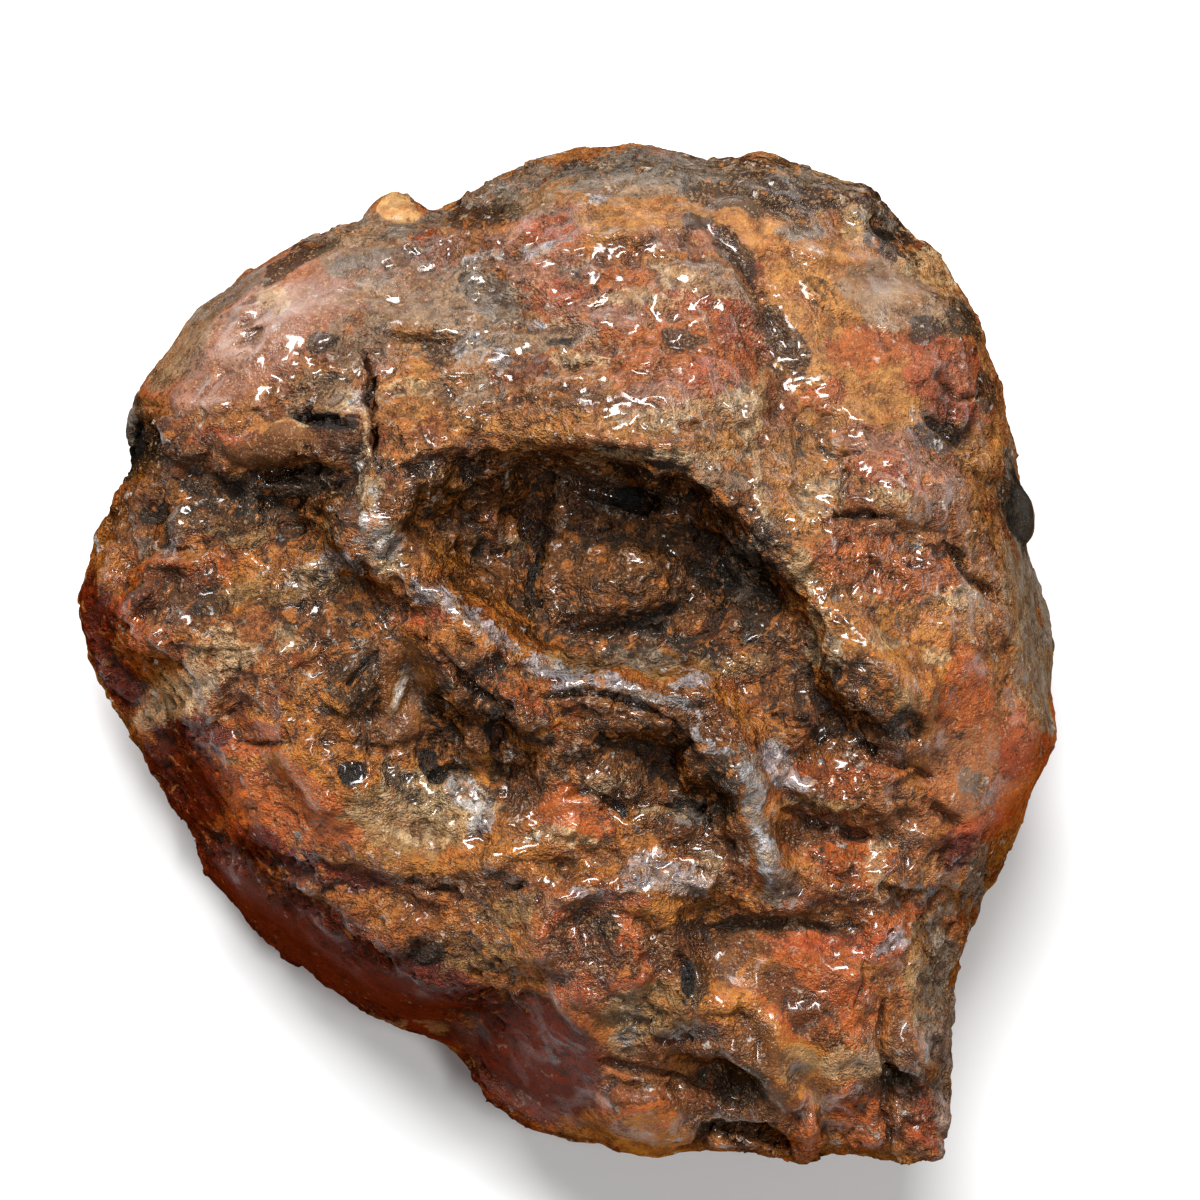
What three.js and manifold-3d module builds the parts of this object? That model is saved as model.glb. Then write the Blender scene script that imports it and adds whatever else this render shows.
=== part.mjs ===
// A coprolite: one palm-sized lump of fossil dung turned to jasper, iron-stained, lying on a flat spot.
// Millimetres, +Z up. The origin is the centre of the bounding box at the resting face. The hollowed
// face looks up, and +Y is the side of the smooth north block.
//
// The stone is one closed body. Its widest line, the girdle, is a closed curve. A profile runs from the
// crown over the girdle and in to the base, and hollows, ridges and swells give the upper face its relief.

import * as THREE from "three";
import { ImprovedNoise } from "three/addons/math/ImprovedNoise.js";
import { mergeVertices } from "three/addons/utils/BufferGeometryUtils.js";
import Module from "manifold-3d";

// ---- Driving dimensions ----

const WIDTH = 124; // across X
const DEPTH = 128; // across Y
const HEIGHT = 60; // from the resting face to the highest knob
const NARROWING = 450; // every wall leans to a point this far above the girdle
const LEAN_POINT = [4.4, 7.4]; // and over this place on the plan
const MEAN_GIRDLE_HEIGHT = 22;
const MEAN_CROWN_HEIGHT = 52;
const MEAN_RADIUS = 61;
const MIDDLE = [4, -5]; // the rays of the plan run from here to the girdle
const BASE_DIP = 1.4; // how far the underside would pass below the resting face, which cuts it flat
const SUBDIVISION = 20; // each edge of the icosahedron is cut into one more piece than this

// The girdle, counter-clockwise from the east point: x, y, and its height above the resting face.
const GIRDLE = [
  [62.1, -9.5, 24], [61, -2.6, 20], [60.6, 4.2, 17], [59.1, 10.5, 16], [57.6, 15.5, 16], [56.6, 22.4, 18],
  [55.4, 28.6, 20], [54.4, 33.6, 21], [52.6, 38.9, 22], [50.6, 44.2, 22], [47.5, 48.9, 22], [43.6, 52.7, 22],
  [41, 56.4, 22], [36.2, 59.7, 22], [30.9, 60.9, 22], [27.5, 62.4, 23], [24, 63.6, 24], [19.6, 62.4, 24],
  [14.4, 63.4, 24], [7.5, 64.2, 24], [2.5, 63, 24], [-3.1, 61.5, 24], [-10, 58.6, 24], [-16.6, 56, 24],
  [-21.2, 55.4, 24], [-26.2, 54.6, 24], [-33.1, 52, 24], [-40, 48.4, 25], [-42.5, 45.8, 25], [-45.9, 43.6, 26],
  [-49.4, 38.4, 27], [-53.8, 33, 28], [-54.8, 30.3, 27], [-54.4, 24.9, 25], [-54, 21.8, 22], [-57.1, 18.9, 20],
  [-59.4, 13.6, 19], [-62.1, 7.4, 19], [-60.6, 3.4, 19], [-57.1, -2.6, 19], [-54.6, -7.9, 18], [-51.9, -12.9, 16],
  [-48.1, -20.1, 15], [-42.5, -28.2, 14], [-35.6, -36.4, 14], [-27.5, -42.6, 14], [-19.4, -46.4, 15],
  [-14.8, -48.9, 16], [-11.2, -54.1, 17], [-8.1, -58.1, 19], [-0.6, -59.2, 22], [9.4, -61, 26], [20.6, -61.5, 27],
  [26.6, -62.1, 28], [29.6, -63.6, 29], [31.6, -61.8, 28], [39.4, -62.6, 28], [46.2, -64.4, 28],
  [50.4, -61.4, 24], [50.5, -57.1, 21], [49.4, -48.9, 19], [48.9, -40.8, 19], [51.2, -32, 20],
  [54.4, -25.8, 23], [58.1, -18.2, 25], [60.6, -13.2, 25],
];

// The profile from crown to base: share of the way out to the girdle, and height as a share of the rise
// from girdle to crown (above 0) or of the girdle's height (below 0).
const PROFILE = [
  [0, 1], [0.4, 1], [0.68, 0.97], [0.84, 0.86], [0.93, 0.63], [0.98, 0.33], [1, 0],
  [0.97, -0.27], [0.88, -0.55], [0.73, -0.79], [0.56, -0.94], [0.4, -1], [0.2, -1], [0, -1],
];
const HOLLOWS_SHARE = 1.6; // how much finer the facets are at the middle of the crown than at its edge
const UNDERSIDE_SHARE = 0.45; // and how many fall below the girdle for one of the same area above

// ---- Relief of the upper face, in plan coordinates ----

// Heights of the upper face at named places, before its hollows and ridges. Between them it blends.
const SPOT_HEIGHTS = [
  { name: "north-west block", at: [-40, 40], height: 49 },
  { name: "block edge", at: [-46, 28], height: 47 },
  { name: "west brow", at: [-22, 29], height: 54 },
  { name: "north brow", at: [10, 31], height: 60 },
  { name: "north slope", at: [4, 50], height: 51 },
  { name: "north-west slope", at: [-18, 47], height: 48 },
  { name: "north-east slope", at: [34, 50], height: 46 },
  { name: "north-east shoulder", at: [42, 38], height: 49 },
  { name: "east plateau", at: [40, 17], height: 58 },
  { name: "east edge", at: [52, 24], height: 47 },
  { name: "east slope", at: [48, 6], height: 52 },
  { name: "east knee", at: [51, -13], height: 46 },
  { name: "south-east slope", at: [38, -22], height: 50 },
  { name: "south-east shoulder", at: [37, -44], height: 47 },
  { name: "south-east corner", at: [45, -60], height: 36 },
  { name: "south slope", at: [18, -44], height: 45 },
  { name: "south edge", at: [10, -56], height: 38 },
  { name: "rosette", at: [4, -37], height: 49 },
  { name: "south scoop", at: [12, -20], height: 51 },
  { name: "south-west shoulder", at: [-20, -34], height: 43 },
  { name: "south-west dish", at: [-32, -20], height: 45 },
  { name: "west lobe", at: [-46, 4], height: 44 },
  { name: "west ledge", at: [-30, 8], height: 47 },
  { name: "bowl", at: [0, 10], height: 55 },
  { name: "pale vein", at: [6, -4], height: 52 },
];
const SPOT_REACH = 9; // how far around itself a spot height holds

// A hollow drops steeply below its lip and rises gently to its rim. The lip and the rim close on each other.
const HOLLOWS = [
  {
    name: "main bowl", depth: 15, lipWall: 5, rimWall: 10,
    lip: [
      [-23.8, 22.6], [-18.1, 24.6], [-12.9, 25.9], [-6.9, 24.9], [-2.5, 26.8], [4.4, 26.4],
      [10.6, 24.9], [16.9, 22.4], [21.9, 18.6], [25.6, 14.3], [28.4, 9.9],
    ],
    rim: [
      [28.3, 4.3], [23.9, 0.5], [16.9, -2], [9.4, -2.9], [2.5, -3.9], [-3.1, -2.6], [-8.1, 1.1],
      [-13.1, 5.5], [-19.4, 8.6], [-23.8, 12.4], [-25.6, 17.4],
    ],
  },
  {
    name: "east slope", depth: 7.5, lipWall: 5, rimWall: 9,
    lip: [[25.6, 14.3], [28.4, 9.9], [33.1, 4.9], [37.5, -1.4], [41.3, -5.1], [45, -8.9]],
    rim: [[43.8, -13.3], [36.9, -15.5], [29.4, -15.3], [24.4, -11.1], [18.8, -8], [15.9, -2], [22, 7]],
  },
  {
    name: "south-west dish", depth: 7, lipWall: 4, rimWall: 10,
    lip: [[-28.1, 1.1], [-22.5, 3.6], [-16.9, 3], [-11.9, -2], [-5.6, -7]],
    rim: [
      [-0.6, -11.4], [-1.3, -17], [-9.4, -22.4], [-19.4, -21.8], [-28.1, -16.8], [-33.1, -10.1],
      [-32.5, -3.9],
    ],
  },
  {
    name: "south scoop", depth: 9, lipWall: 5, rimWall: 9,
    lip: [[-3.8, -6.6], [1.9, -5.1], [9.4, -4.5], [16.9, -5.8], [21.3, -12], [23.8, -17.6], [25, -23.9]],
    rim: [[21.9, -28.6], [15.6, -27.4], [9.4, -24.9], [4.4, -21.1], [0, -17.4], [-2.5, -11.4]],
  },
  {
    name: "west groove", depth: 9, lipWall: 4.4, rimWall: 5.5,
    lip: [[-58, 25.6], [-46.9, 26.1], [-41.3, 24.9], [-33.1, 23.9], [-28.1, 24.6], [-23.1, 23.6]],
    rim: [[-24, 15.8], [-30.6, 11.4], [-37.5, 11.4], [-42.5, 14.5], [-48.8, 13.9], [-60, 13.3]],
  },
  {
    name: "south-east step", depth: 4, lipWall: 3.5, rimWall: 7,
    lip: [[26, -18], [31, -17], [37, -18.5], [43, -17.5], [48, -19]],
    rim: [[47, -27], [40, -30], [32, -29], [26, -26]],
  },
];

// A ridge follows a chain of points. A groove is a ridge whose rise is negative.
const RIDGES = [
  {
    name: "pale vein", halfWidth: 4.4, rise: 5,
    chain: [
      [-24.1, 21.8], [-24.6, 16.1], [-23.1, 11.8], [-16.9, 7.8], [-10.6, 2.6], [-5.6, -2], [0.4, -4.1],
      [9.4, -3.4], [16.9, -4.1], [21.3, -9.5], [24.6, -15.8], [25.4, -22.6], [27.5, -29.5],
    ],
  },
  { name: "orange spur", halfWidth: 3, rise: 3.5, chain: [[-16.9, 3.9], [-11.9, -1.1], [-7.5, -5.1], [-4.1, -7.1]] },
  {
    name: "brow", halfWidth: 8, rise: 3,
    chain: [
      [-20.6, 28], [-11.9, 29.3], [-2.5, 30.5], [8.1, 29.3], [16.9, 26.8], [23.8, 21.1], [29.4, 12.4],
      [35.6, 3.6], [43.1, -5.1],
    ],
  },
  { name: "block edge", halfWidth: 5, rise: 3, chain: [[-53, 29], [-44, 29.5], [-34, 28], [-26, 28.5]] },
  { name: "block joint", halfWidth: 3.4, rise: -3, chain: [[-23.6, 38], [-23.8, 31], [-23.5, 24]] },
  { name: "bowl trough", halfWidth: 3.6, rise: -4, chain: [[-5.6, 22.4], [-3.1, 16.1], [-3.4, 7.4], [-2.1, 2.4]] },
  { name: "curl", halfWidth: 3.6, rise: 2.6, chain: [[-10, 22], [-9.4, 17], [-6.5, 13.5], [-9, 9.5]] },
  { name: "arch", halfWidth: 4, rise: -4, chain: [[16.9, -34.5], [21.9, -32.6], [28.1, -32.1], [33.1, -33.4], [36.6, -35.4]] },
  {
    name: "rosette rim", halfWidth: 3, rise: 2.6,
    chain: [[-4.4, -36.4], [-2.5, -30.8], [3.1, -28.3], [9.4, -28.9], [14.4, -33.3], [15.6, -40.1], [13.1, -46.4]],
  },
  { name: "rosette knot", halfWidth: 3.6, rise: -2.4, chain: [[3.5, -34.5], [3.2, -38.5], [5, -41]] },
  { name: "south-west ledge", halfWidth: 4, rise: 2.4, chain: [[-34, -12], [-29, -19], [-20, -25], [-9, -26], [0, -23]] },
  { name: "south rib", halfWidth: 4, rise: 3, chain: [[17, -42], [23, -51], [28, -60]] },
  { name: "south notch", halfWidth: 4.6, rise: -4, chain: [[14, -50], [19, -54], [20, -60]] },
  { name: "corner crack", halfWidth: 4, rise: -3, chain: [[40.5, -40], [40, -47], [39.5, -54]] },
  { name: "east stair", halfWidth: 4, rise: -2.4, chain: [[33, 27], [37, 22], [39, 16], [45, 13], [50, 12]] },
  { name: "east crease", halfWidth: 4, rise: -2.4, chain: [[24, 41], [28, 34], [31, 28], [30, 20]] },
  { name: "north crease", halfWidth: 4.4, rise: -2.4, chain: [[-9, 46], [-2, 40], [6, 37], [14, 40], [22, 36]] },
];

// A swell is an oval rise, or a pocket where its rise is negative. Turn is in degrees.
const SWELLS = [
  { name: "north-west block", at: [-40, 38.6], radii: [17, 10], turn: 28, rise: 3 },
  { name: "north knobs", at: [12, 36], radii: [15, 9], turn: -5, rise: 2.5 },
  { name: "north-east knobs", at: [30, 53], radii: [12, 7], turn: -25, rise: 3 },
  { name: "east knob", at: [43, 21], radii: [9, 7], turn: 10, rise: 3 },
  { name: "west lobe", at: [-47, 4.9], radii: [15, 10], turn: -20, rise: 5 },
  { name: "bowl island", at: [8.1, 8], radii: [12, 7.5], turn: 5, rise: 5.5 },
  { name: "bowl shelf", at: [-16.6, 15], radii: [9, 8], turn: 0, rise: 5 },
  { name: "bowl east pocket", at: [23.5, 8.5], radii: [4.5, 8], turn: 20, rise: -4.5 },
  { name: "dish knob", at: [-21, -8], radii: [6, 9], turn: 20, rise: 3 },
  { name: "dish pocket", at: [-14, -13], radii: [5, 5], turn: 0, rise: -2.5 },
  { name: "scoop rib", at: [8, -14], radii: [9, 3.6], turn: -35, rise: 3 },
  { name: "rosette", at: [4.4, -37], radii: [9, 9], turn: 0, rise: 2.5 },
  { name: "south-east boss", at: [40, -38], radii: [8, 7], turn: 8, rise: 3 },
  { name: "south block", at: [9.4, -55], radii: [9, 5], turn: -5, rise: 4 },
];

// A facet trims the stone to a plane through a point, as far around it as it reaches on the plan.
// Softness is the share of the trimming that is left standing.
const FACETS = [
  { name: "east wall", at: [54.5, 10, 42], facing: [0.965, 0.177, 0.19], reach: 24, softness: 0.2 },
  { name: "east knee", at: [50, -13, 47], facing: [0.58, -0.12, 0.8], reach: 17, softness: 0.25 },
  { name: "south-east chamfer", at: [54, -19, 40], facing: [0.86, -0.42, 0.3], reach: 14, softness: 0.2 },
  { name: "south-east wall", at: [47, -45, 40], facing: [0.98, 0, 0.19], reach: 20, softness: 0.2 },
  { name: "south edge", at: [26, -57, 40], facing: [-0.02, -0.85, 0.52], reach: 26, softness: 0.25 },
  { name: "south conchoid", at: [-4, -51, 30], facing: [-0.698, -0.509, 0.502], reach: 15, softness: 0.05 },
  { name: "south-west wall", at: [-32, -28.5, 39], facing: [-0.626, -0.7, 0.344], reach: 26, softness: 0.2 },
  { name: "west wall", at: [-43, -13, 39], facing: [-0.804, -0.479, 0.354], reach: 20, softness: 0.25 },
  { name: "block cheek", at: [-52.5, 29, 42], facing: [-0.97, 0, 0.24], reach: 12, softness: 0.2 },
  { name: "block roof", at: [-42, 41, 47], facing: [-0.4, 0.6, 0.69], reach: 22, softness: 0.35 },
  { name: "north roof", at: [2, 53, 48], facing: [-0.06, 0.66, 0.75], reach: 34, softness: 0.35 },
  { name: "north-east roof", at: [43, 42, 46], facing: [0.62, 0.5, 0.6], reach: 22, softness: 0.35 },
  { name: "underside west", at: [-40, 2, 7], facing: [-0.6, 0.1, -0.79], reach: 40, softness: 0.25 },
  { name: "underside north", at: [-5, 44, 8], facing: [-0.05, 0.64, -0.77], reach: 40, softness: 0.25 },
  { name: "underside east", at: [44, 12, 6], facing: [0.62, 0.14, -0.77], reach: 40, softness: 0.25 },
  { name: "underside south-east", at: [32, -38, 8], facing: [0.48, -0.48, -0.73], reach: 40, softness: 0.25 },
  { name: "underside south", at: [-8, -40, 6], facing: [-0.24, -0.62, -0.75], reach: 40, softness: 0.25 },
];

// Nubs are small ovals that stand proud of the girdle: half-axes along, across and up, and a turn in degrees.
const NUBS = [
  { name: "black nub", at: [54.6, 19.6, 21], halfAxes: [4.8, 3.2, 5], turn: -66 },
  { name: "honey nub", at: [-20.6, 53.6, 25], halfAxes: [4.6, 4, 4.5], turn: 4 },
];

// ---- Helpers ----

const noiseField = new ImprovedNoise();
const clamp01 = (x) => Math.min(1, Math.max(0, x));
const smooth = (x) => THREE.MathUtils.smoothstep(x, 0, 1);

// Several octaves of noise at a place, for lumps of the stated size.
function lumps(x, y, z, size, octaves) {
  let sum = 0;
  for (let octave = 0, gain = 1; octave < octaves; octave++, gain /= 2) {
    const k = 2 ** octave / size;
    sum += gain * noiseField.noise(x * k, y * k, z * k);
  }
  return sum;
}

// The distance from a place to a chain of points.
function distanceToChain(x, y, chain) {
  let nearest = Infinity;
  for (let i = 1; i < chain.length; i++) {
    const [ax, ay] = chain[i - 1];
    const [dx, dy] = [chain[i][0] - ax, chain[i][1] - ay];
    const along = clamp01(((x - ax) * dx + (y - ay) * dy) / (dx * dx + dy * dy));
    nearest = Math.min(nearest, Math.hypot(x - ax - along * dx, y - ay - along * dy));
  }
  return nearest;
}

// Whether a place lies inside a closed ring of points.
function isInside(x, y, ring) {
  let inside = false;
  for (let i = 0, j = ring.length - 1; i < ring.length; j = i++) {
    const [ax, ay] = ring[i];
    const [bx, by] = ring[j];
    if (ay > y !== by > y && x < ((bx - ax) * (y - ay)) / (by - ay) + ax) inside = !inside;
  }
  return inside;
}

// A bump that is 1 at its middle and falls to 0, with no slope, at a distance of 1.
function bump(distance) {
  const left = Math.max(0, 1 - distance * distance);
  return left * left;
}

// ---- Relief ----

function hollowDepth(x, y, hollow) {
  const ring = [...hollow.lip, ...hollow.rim];
  if (!isInside(x, y, ring)) return 0;
  const fromLip = distanceToChain(x, y, hollow.lip) / hollow.lipWall;
  const rimEnds = [hollow.lip.at(-1), ...hollow.rim, hollow.lip[0]];
  const fromRim = distanceToChain(x, y, rimEnds) / hollow.rimWall;
  return hollow.depth * smooth(fromLip) * smooth(fromRim);
}

// The height of the upper face at a place, before its hollows and ridges.
function crownHeight(x, y) {
  let [sum, weights] = [0, 0];
  for (const { at, height } of SPOT_HEIGHTS) {
    const weight = ((x - at[0]) ** 2 + (y - at[1]) ** 2 + SPOT_REACH ** 2) ** -2;
    sum += weight * height;
    weights += weight;
  }
  return sum / weights;
}

function swellRise(x, y, { at, radii, turn, rise }) {
  const angle = THREE.MathUtils.degToRad(turn);
  const [dx, dy] = [x - at[0], y - at[1]];
  const along = dx * Math.cos(angle) + dy * Math.sin(angle);
  const across = dy * Math.cos(angle) - dx * Math.sin(angle);
  return rise * bump(Math.hypot(along / radii[0], across / radii[1]));
}

function relief(x, y) {
  let rise = 0;
  for (const swell of SWELLS) rise += swellRise(x, y, swell);
  for (const ridge of RIDGES) rise += ridge.rise * bump(distanceToChain(x, y, ridge.chain) / ridge.halfWidth);
  for (const hollow of HOLLOWS) rise -= hollowDepth(x, y, hollow);
  return rise;
}

function trimToFacets(point) {
  for (const { at, facing, reach, softness } of FACETS) {
    const normal = new THREE.Vector3(...facing).normalize();
    const proud = point.clone().sub(new THREE.Vector3(...at)).dot(normal);
    const away = Math.hypot(point.x - at[0], point.y - at[1]);
    const hold = smooth(3 * (1 - away / reach));
    if (proud > 0) point.addScaledVector(normal, -proud * (1 - softness) * hold);
  }
}

// ---- The body ----

const girdle = new THREE.CatmullRomCurve3(GIRDLE.map((p) => new THREE.Vector3(...p)), true, "centripetal");
girdle.arcLengthDivisions = 1200;

const profile = new THREE.SplineCurve(
  PROFILE.map(([out, up]) => {
    const height = up > 0 ? up * (MEAN_CROWN_HEIGHT - MEAN_GIRDLE_HEIGHT) : up * (MEAN_GIRDLE_HEIGHT + BASE_DIP);
    return new THREE.Vector2(out * MEAN_RADIUS, height);
  }),
);

// A table of points along the profile, each with the share of the facets that lie above it.
function facetShares() {
  const table = profile.getSpacedPoints(600).map((point) => ({ out: point.x, up: point.y, share: 0 }));
  let share = 0;
  for (const row of table) {
    const fineness = row.up > 0 ? 1 + HOLLOWS_SHARE * bump(row.out / MEAN_RADIUS) : UNDERSIDE_SHARE;
    share += Math.max(0, row.out) * fineness;
    row.share = share;
  }
  for (const row of table) row.share /= share;
  return table;
}
const shares = facetShares();

// The profile's point at a share of the facets: how far out, 0 to 1, and how high, -1 to 1.
function profileAt(share) {
  let i = shares.findIndex((row) => row.share >= share);
  if (i < 1) i = i < 0 ? shares.length - 1 : 1;
  const [a, b] = [shares[i - 1], shares[i]];
  const t = clamp01((share - a.share) / Math.max(1e-9, b.share - a.share));
  const up = THREE.MathUtils.lerp(a.up, b.up, t);
  const range = up > 0 ? MEAN_CROWN_HEIGHT - MEAN_GIRDLE_HEIGHT : MEAN_GIRDLE_HEIGHT;
  return { out: clamp01(THREE.MathUtils.lerp(a.out, b.out, t) / MEAN_RADIUS), up: up / range };
}

// Carries a point of the unit sphere to the stone's surface.
function stonePoint(direction) {
  const { out, up } = profileAt((1 - direction.z) / 2);
  const turn = Math.atan2(direction.y, direction.x) / (2 * Math.PI);
  const edge = girdle.getPointAt(((turn % 1) + 1) % 1);
  const point = new THREE.Vector3(MIDDLE[0], MIDDLE[1], 0).lerp(edge, out);
  if (up > 0) {
    const crown = crownHeight(point.x, point.y) + relief(point.x, point.y) * smooth((1 - out) * 9);
    point.z = THREE.MathUtils.lerp(edge.z, crown, up);
  } else {
    point.z = edge.z * (1 + up);
  }
  trimToFacets(point);
  roughen(point, direction, out);
  const lean = 1 - (point.z - MEAN_GIRDLE_HEIGHT) / NARROWING;
  point.x = LEAN_POINT[0] + (point.x - LEAN_POINT[0]) * lean;
  point.y = LEAN_POINT[1] + (point.y - LEAN_POINT[1]) * lean;
  point.z = Math.max(0, point.z);
  return point;
}

// Natural unevenness: broad lumps and sharper chips, along a normal that lies between up and outwards.
function roughen(point, direction, out) {
  const normal = new THREE.Vector3(direction.x, direction.y, direction.z * (1.6 - out)).normalize();
  const broad = 1.9 * lumps(point.x, point.y, point.z, 19, 2);
  const chips = 1.5 * (0.35 - Math.abs(lumps(point.x + 50, point.y, point.z * 1.4, 9, 2)));
  point.addScaledVector(normal, (broad + chips) * (out > 0.96 ? 0.5 : 1));
}

function bodyGeometry() {
  const sphere = new THREE.IcosahedronGeometry(1, SUBDIVISION);
  sphere.deleteAttribute("normal");
  sphere.deleteAttribute("uv");
  const geometry = mergeVertices(sphere, 1e-4);
  const position = geometry.attributes.position;
  const direction = new THREE.Vector3();
  for (let i = 0; i < position.count; i++) {
    direction.fromBufferAttribute(position, i).normalize();
    position.setXYZ(i, ...stonePoint(direction));
  }
  return geometry;
}

function nubGeometry({ at, halfAxes, turn }) {
  const sphere = new THREE.SphereGeometry(1, 14, 9);
  sphere.deleteAttribute("normal");
  sphere.deleteAttribute("uv");
  const geometry = mergeVertices(sphere, 1e-4);
  geometry.scale(...halfAxes);
  geometry.rotateZ(THREE.MathUtils.degToRad(turn));
  geometry.translate(...at);
  return geometry;
}

// Joins geometries into one closed body.
function fuse(wasm, geometries) {
  const solids = geometries.map(
    (geometry) =>
      new wasm.Manifold(
        new wasm.Mesh({
          numProp: 3,
          vertProperties: new Float32Array(geometry.attributes.position.array),
          triVerts: new Uint32Array(geometry.index.array),
        }),
      ),
  );
  const joined = solids.reduce((a, b) => a.add(b)).getMesh();
  const geometry = new THREE.BufferGeometry();
  geometry.setAttribute("position", new THREE.BufferAttribute(new Float32Array(joined.vertProperties), 3));
  geometry.setIndex(new THREE.BufferAttribute(new Uint32Array(joined.triVerts), 1));
  return geometry;
}

// Brings the stone to its stated width, depth and height, centred over the origin.
function fitToSize(geometry) {
  geometry.computeBoundingBox();
  const { min, max } = geometry.boundingBox;
  geometry.translate(-(min.x + max.x) / 2, -(min.y + max.y) / 2, -min.z);
  geometry.scale(WIDTH / (max.x - min.x), DEPTH / (max.y - min.y), HEIGHT / (max.z - min.z));
  geometry.computeVertexNormals();
  return geometry;
}

const wasm = await Module();
wasm.setup();

const ironStainedJasper = new THREE.MeshStandardMaterial({ color: 0x8f5226, roughness: 0.35, metalness: 0 });
const coprolite = new THREE.Mesh(
  fitToSize(fuse(wasm, [bodyGeometry(), ...NUBS.map(nubGeometry)])),
  ironStainedJasper,
);
coprolite.name = "coprolite";

const specimen = new THREE.Group();
specimen.add(coprolite);

export default specimen;
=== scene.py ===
import math

import bpy
import numpy as np
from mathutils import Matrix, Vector


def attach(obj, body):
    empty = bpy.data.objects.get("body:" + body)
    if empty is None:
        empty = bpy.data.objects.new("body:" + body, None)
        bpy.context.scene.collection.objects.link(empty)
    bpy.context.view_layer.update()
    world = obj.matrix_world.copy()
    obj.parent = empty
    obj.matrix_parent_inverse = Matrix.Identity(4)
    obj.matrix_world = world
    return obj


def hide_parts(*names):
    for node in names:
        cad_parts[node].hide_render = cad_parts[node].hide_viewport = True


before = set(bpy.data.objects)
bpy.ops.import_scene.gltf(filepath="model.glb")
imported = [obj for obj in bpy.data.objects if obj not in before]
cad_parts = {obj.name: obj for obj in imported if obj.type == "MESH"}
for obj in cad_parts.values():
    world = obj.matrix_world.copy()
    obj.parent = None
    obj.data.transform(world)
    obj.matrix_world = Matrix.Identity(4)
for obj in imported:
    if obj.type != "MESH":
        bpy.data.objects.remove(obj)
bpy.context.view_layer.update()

# A coprolite: a wet, iron-stained lump of jasper that lies on a small flat spot with its hollowed face up.
# Lengths are in millimetres until a mesh is written, and the stage is in metres. Features of the upper
# face are laid out on a sheet that an eye high above the stone looks down on: 1200 units square, x to the
# east and y to the south.

MM = 0.001
NODE = "coprolite"

EYE = (4.28, 6.70, 471.2)
SHEET_HEIGHT = 21.2  # the sheet lies at the height of the stone's widest line
SHEET_WIDTH = 151.8  # in mm, at that height
SHEET_UNITS = 1200
UNITS_PER_MM = SHEET_UNITS / SHEET_WIDTH

ROUGH_VOXEL = 0.55
FINE_VOXEL = 0.46
MOST_TRIANGLES = 196000
TOP_STARTS = (12, 20)  # between these heights the invented back gives way to the upper side
KEY_PLACE = (-0.08, 0.5, 0.74)  # of the key light, in metres
OVERHEAD_PLACE = (0.25, -0.05, 0.95)
LIT_PLACE = (0, 0, 0.03)  # what both lights aim at
SENSOR_WIDTH = 36  # of the camera, in its own millimetres

# ---- Sheet, noise and masks ----


def sheet_of(points):
    """Where each point is seen on the sheet."""
    nearer = (EYE[2] - SHEET_HEIGHT) / (EYE[2] - points[:, 2])
    x = SHEET_UNITS / 2 + (points[:, 0] - EYE[0]) * nearer * UNITS_PER_MM
    y = SHEET_UNITS / 2 - (points[:, 1] - EYE[1]) * nearer * UNITS_PER_MM
    return np.stack([x, y], axis=1)


def ramp(values, low, high):
    """0 at low and 1 at high, with an even slope at both ends."""
    t = np.clip((values - low) / (high - low), 0, 1)
    return t * t * (3 - 2 * t)


def scramble(cells, seed):
    """A repeatable number from 0 to 1 for each cell of a grid."""
    x, y, z = (cells[:, i].astype(np.int64) for i in range(3))
    n = x * 374761393 + y * 668265263 + z * 2147483647 + seed * 97471177
    n = (n ^ (n >> 13)) * 1274126177
    return ((n ^ (n >> 16)) & 0xFFFFFF) / 0xFFFFFF


def noise(points, size, seed):
    """Smooth noise from -1 to 1 with lumps of that size."""
    grid = points / size
    cell = np.floor(grid)
    t = grid - cell
    t = t * t * t * (t * (t * 6 - 15) + 10)
    total = np.zeros(len(points))
    for corner in np.ndindex(2, 2, 2):
        weight = np.prod(np.where(corner, t, 1 - t), axis=1)
        total += weight * scramble(cell + corner, seed)
    return 2 * total - 1


TURN = np.array([[0.36, 0.48, -0.8], [-0.8, 0.6, 0.0], [0.48, 0.64, 0.6]])  # keeps octaves out of step


def lumps(points, size, octaves, seed):
    """Noise with finer noise on it, each octave half the size and half the height of the one before."""
    total, gain = np.zeros(len(points)), 1.0
    for octave in range(octaves):
        total += gain * noise(points, size, seed + octave)
        points, size, gain = points @ TURN.T, size / 2, gain / 2
    return total


def nearby_seeds(points, size, seed):
    """For each point: the seed cells about it, each with how far away its seed point is, in cells."""
    grid = points / size
    corner = np.floor(grid - 0.5)
    for step in np.ndindex(2, 2, 2):
        cell = corner + np.array(step)
        jitter = np.stack([scramble(cell, seed + k) for k in range(3)], axis=1)
        yield cell, grid - cell - 0.2 - 0.6 * jitter


def chips(points, size, seed):
    """Flat chips of that size, each tilted its own way: a height for each point, of about -1 to 1."""
    nearest = np.full(len(points), np.inf)
    height = np.zeros(len(points))
    for cell, away in nearby_seeds(points, size, seed):
        distance = np.einsum("ij,ij->i", away, away)
        tilt = np.stack([scramble(cell, seed + 3 + k) - 0.5 for k in range(3)], axis=1)
        slope = np.einsum("ij,ij->i", away, tilt) * 2.4
        closer = distance < nearest
        height = np.where(closer, slope + scramble(cell, seed + 6) - 0.5, height)
        nearest = np.where(closer, distance, nearest)
    return height


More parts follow.
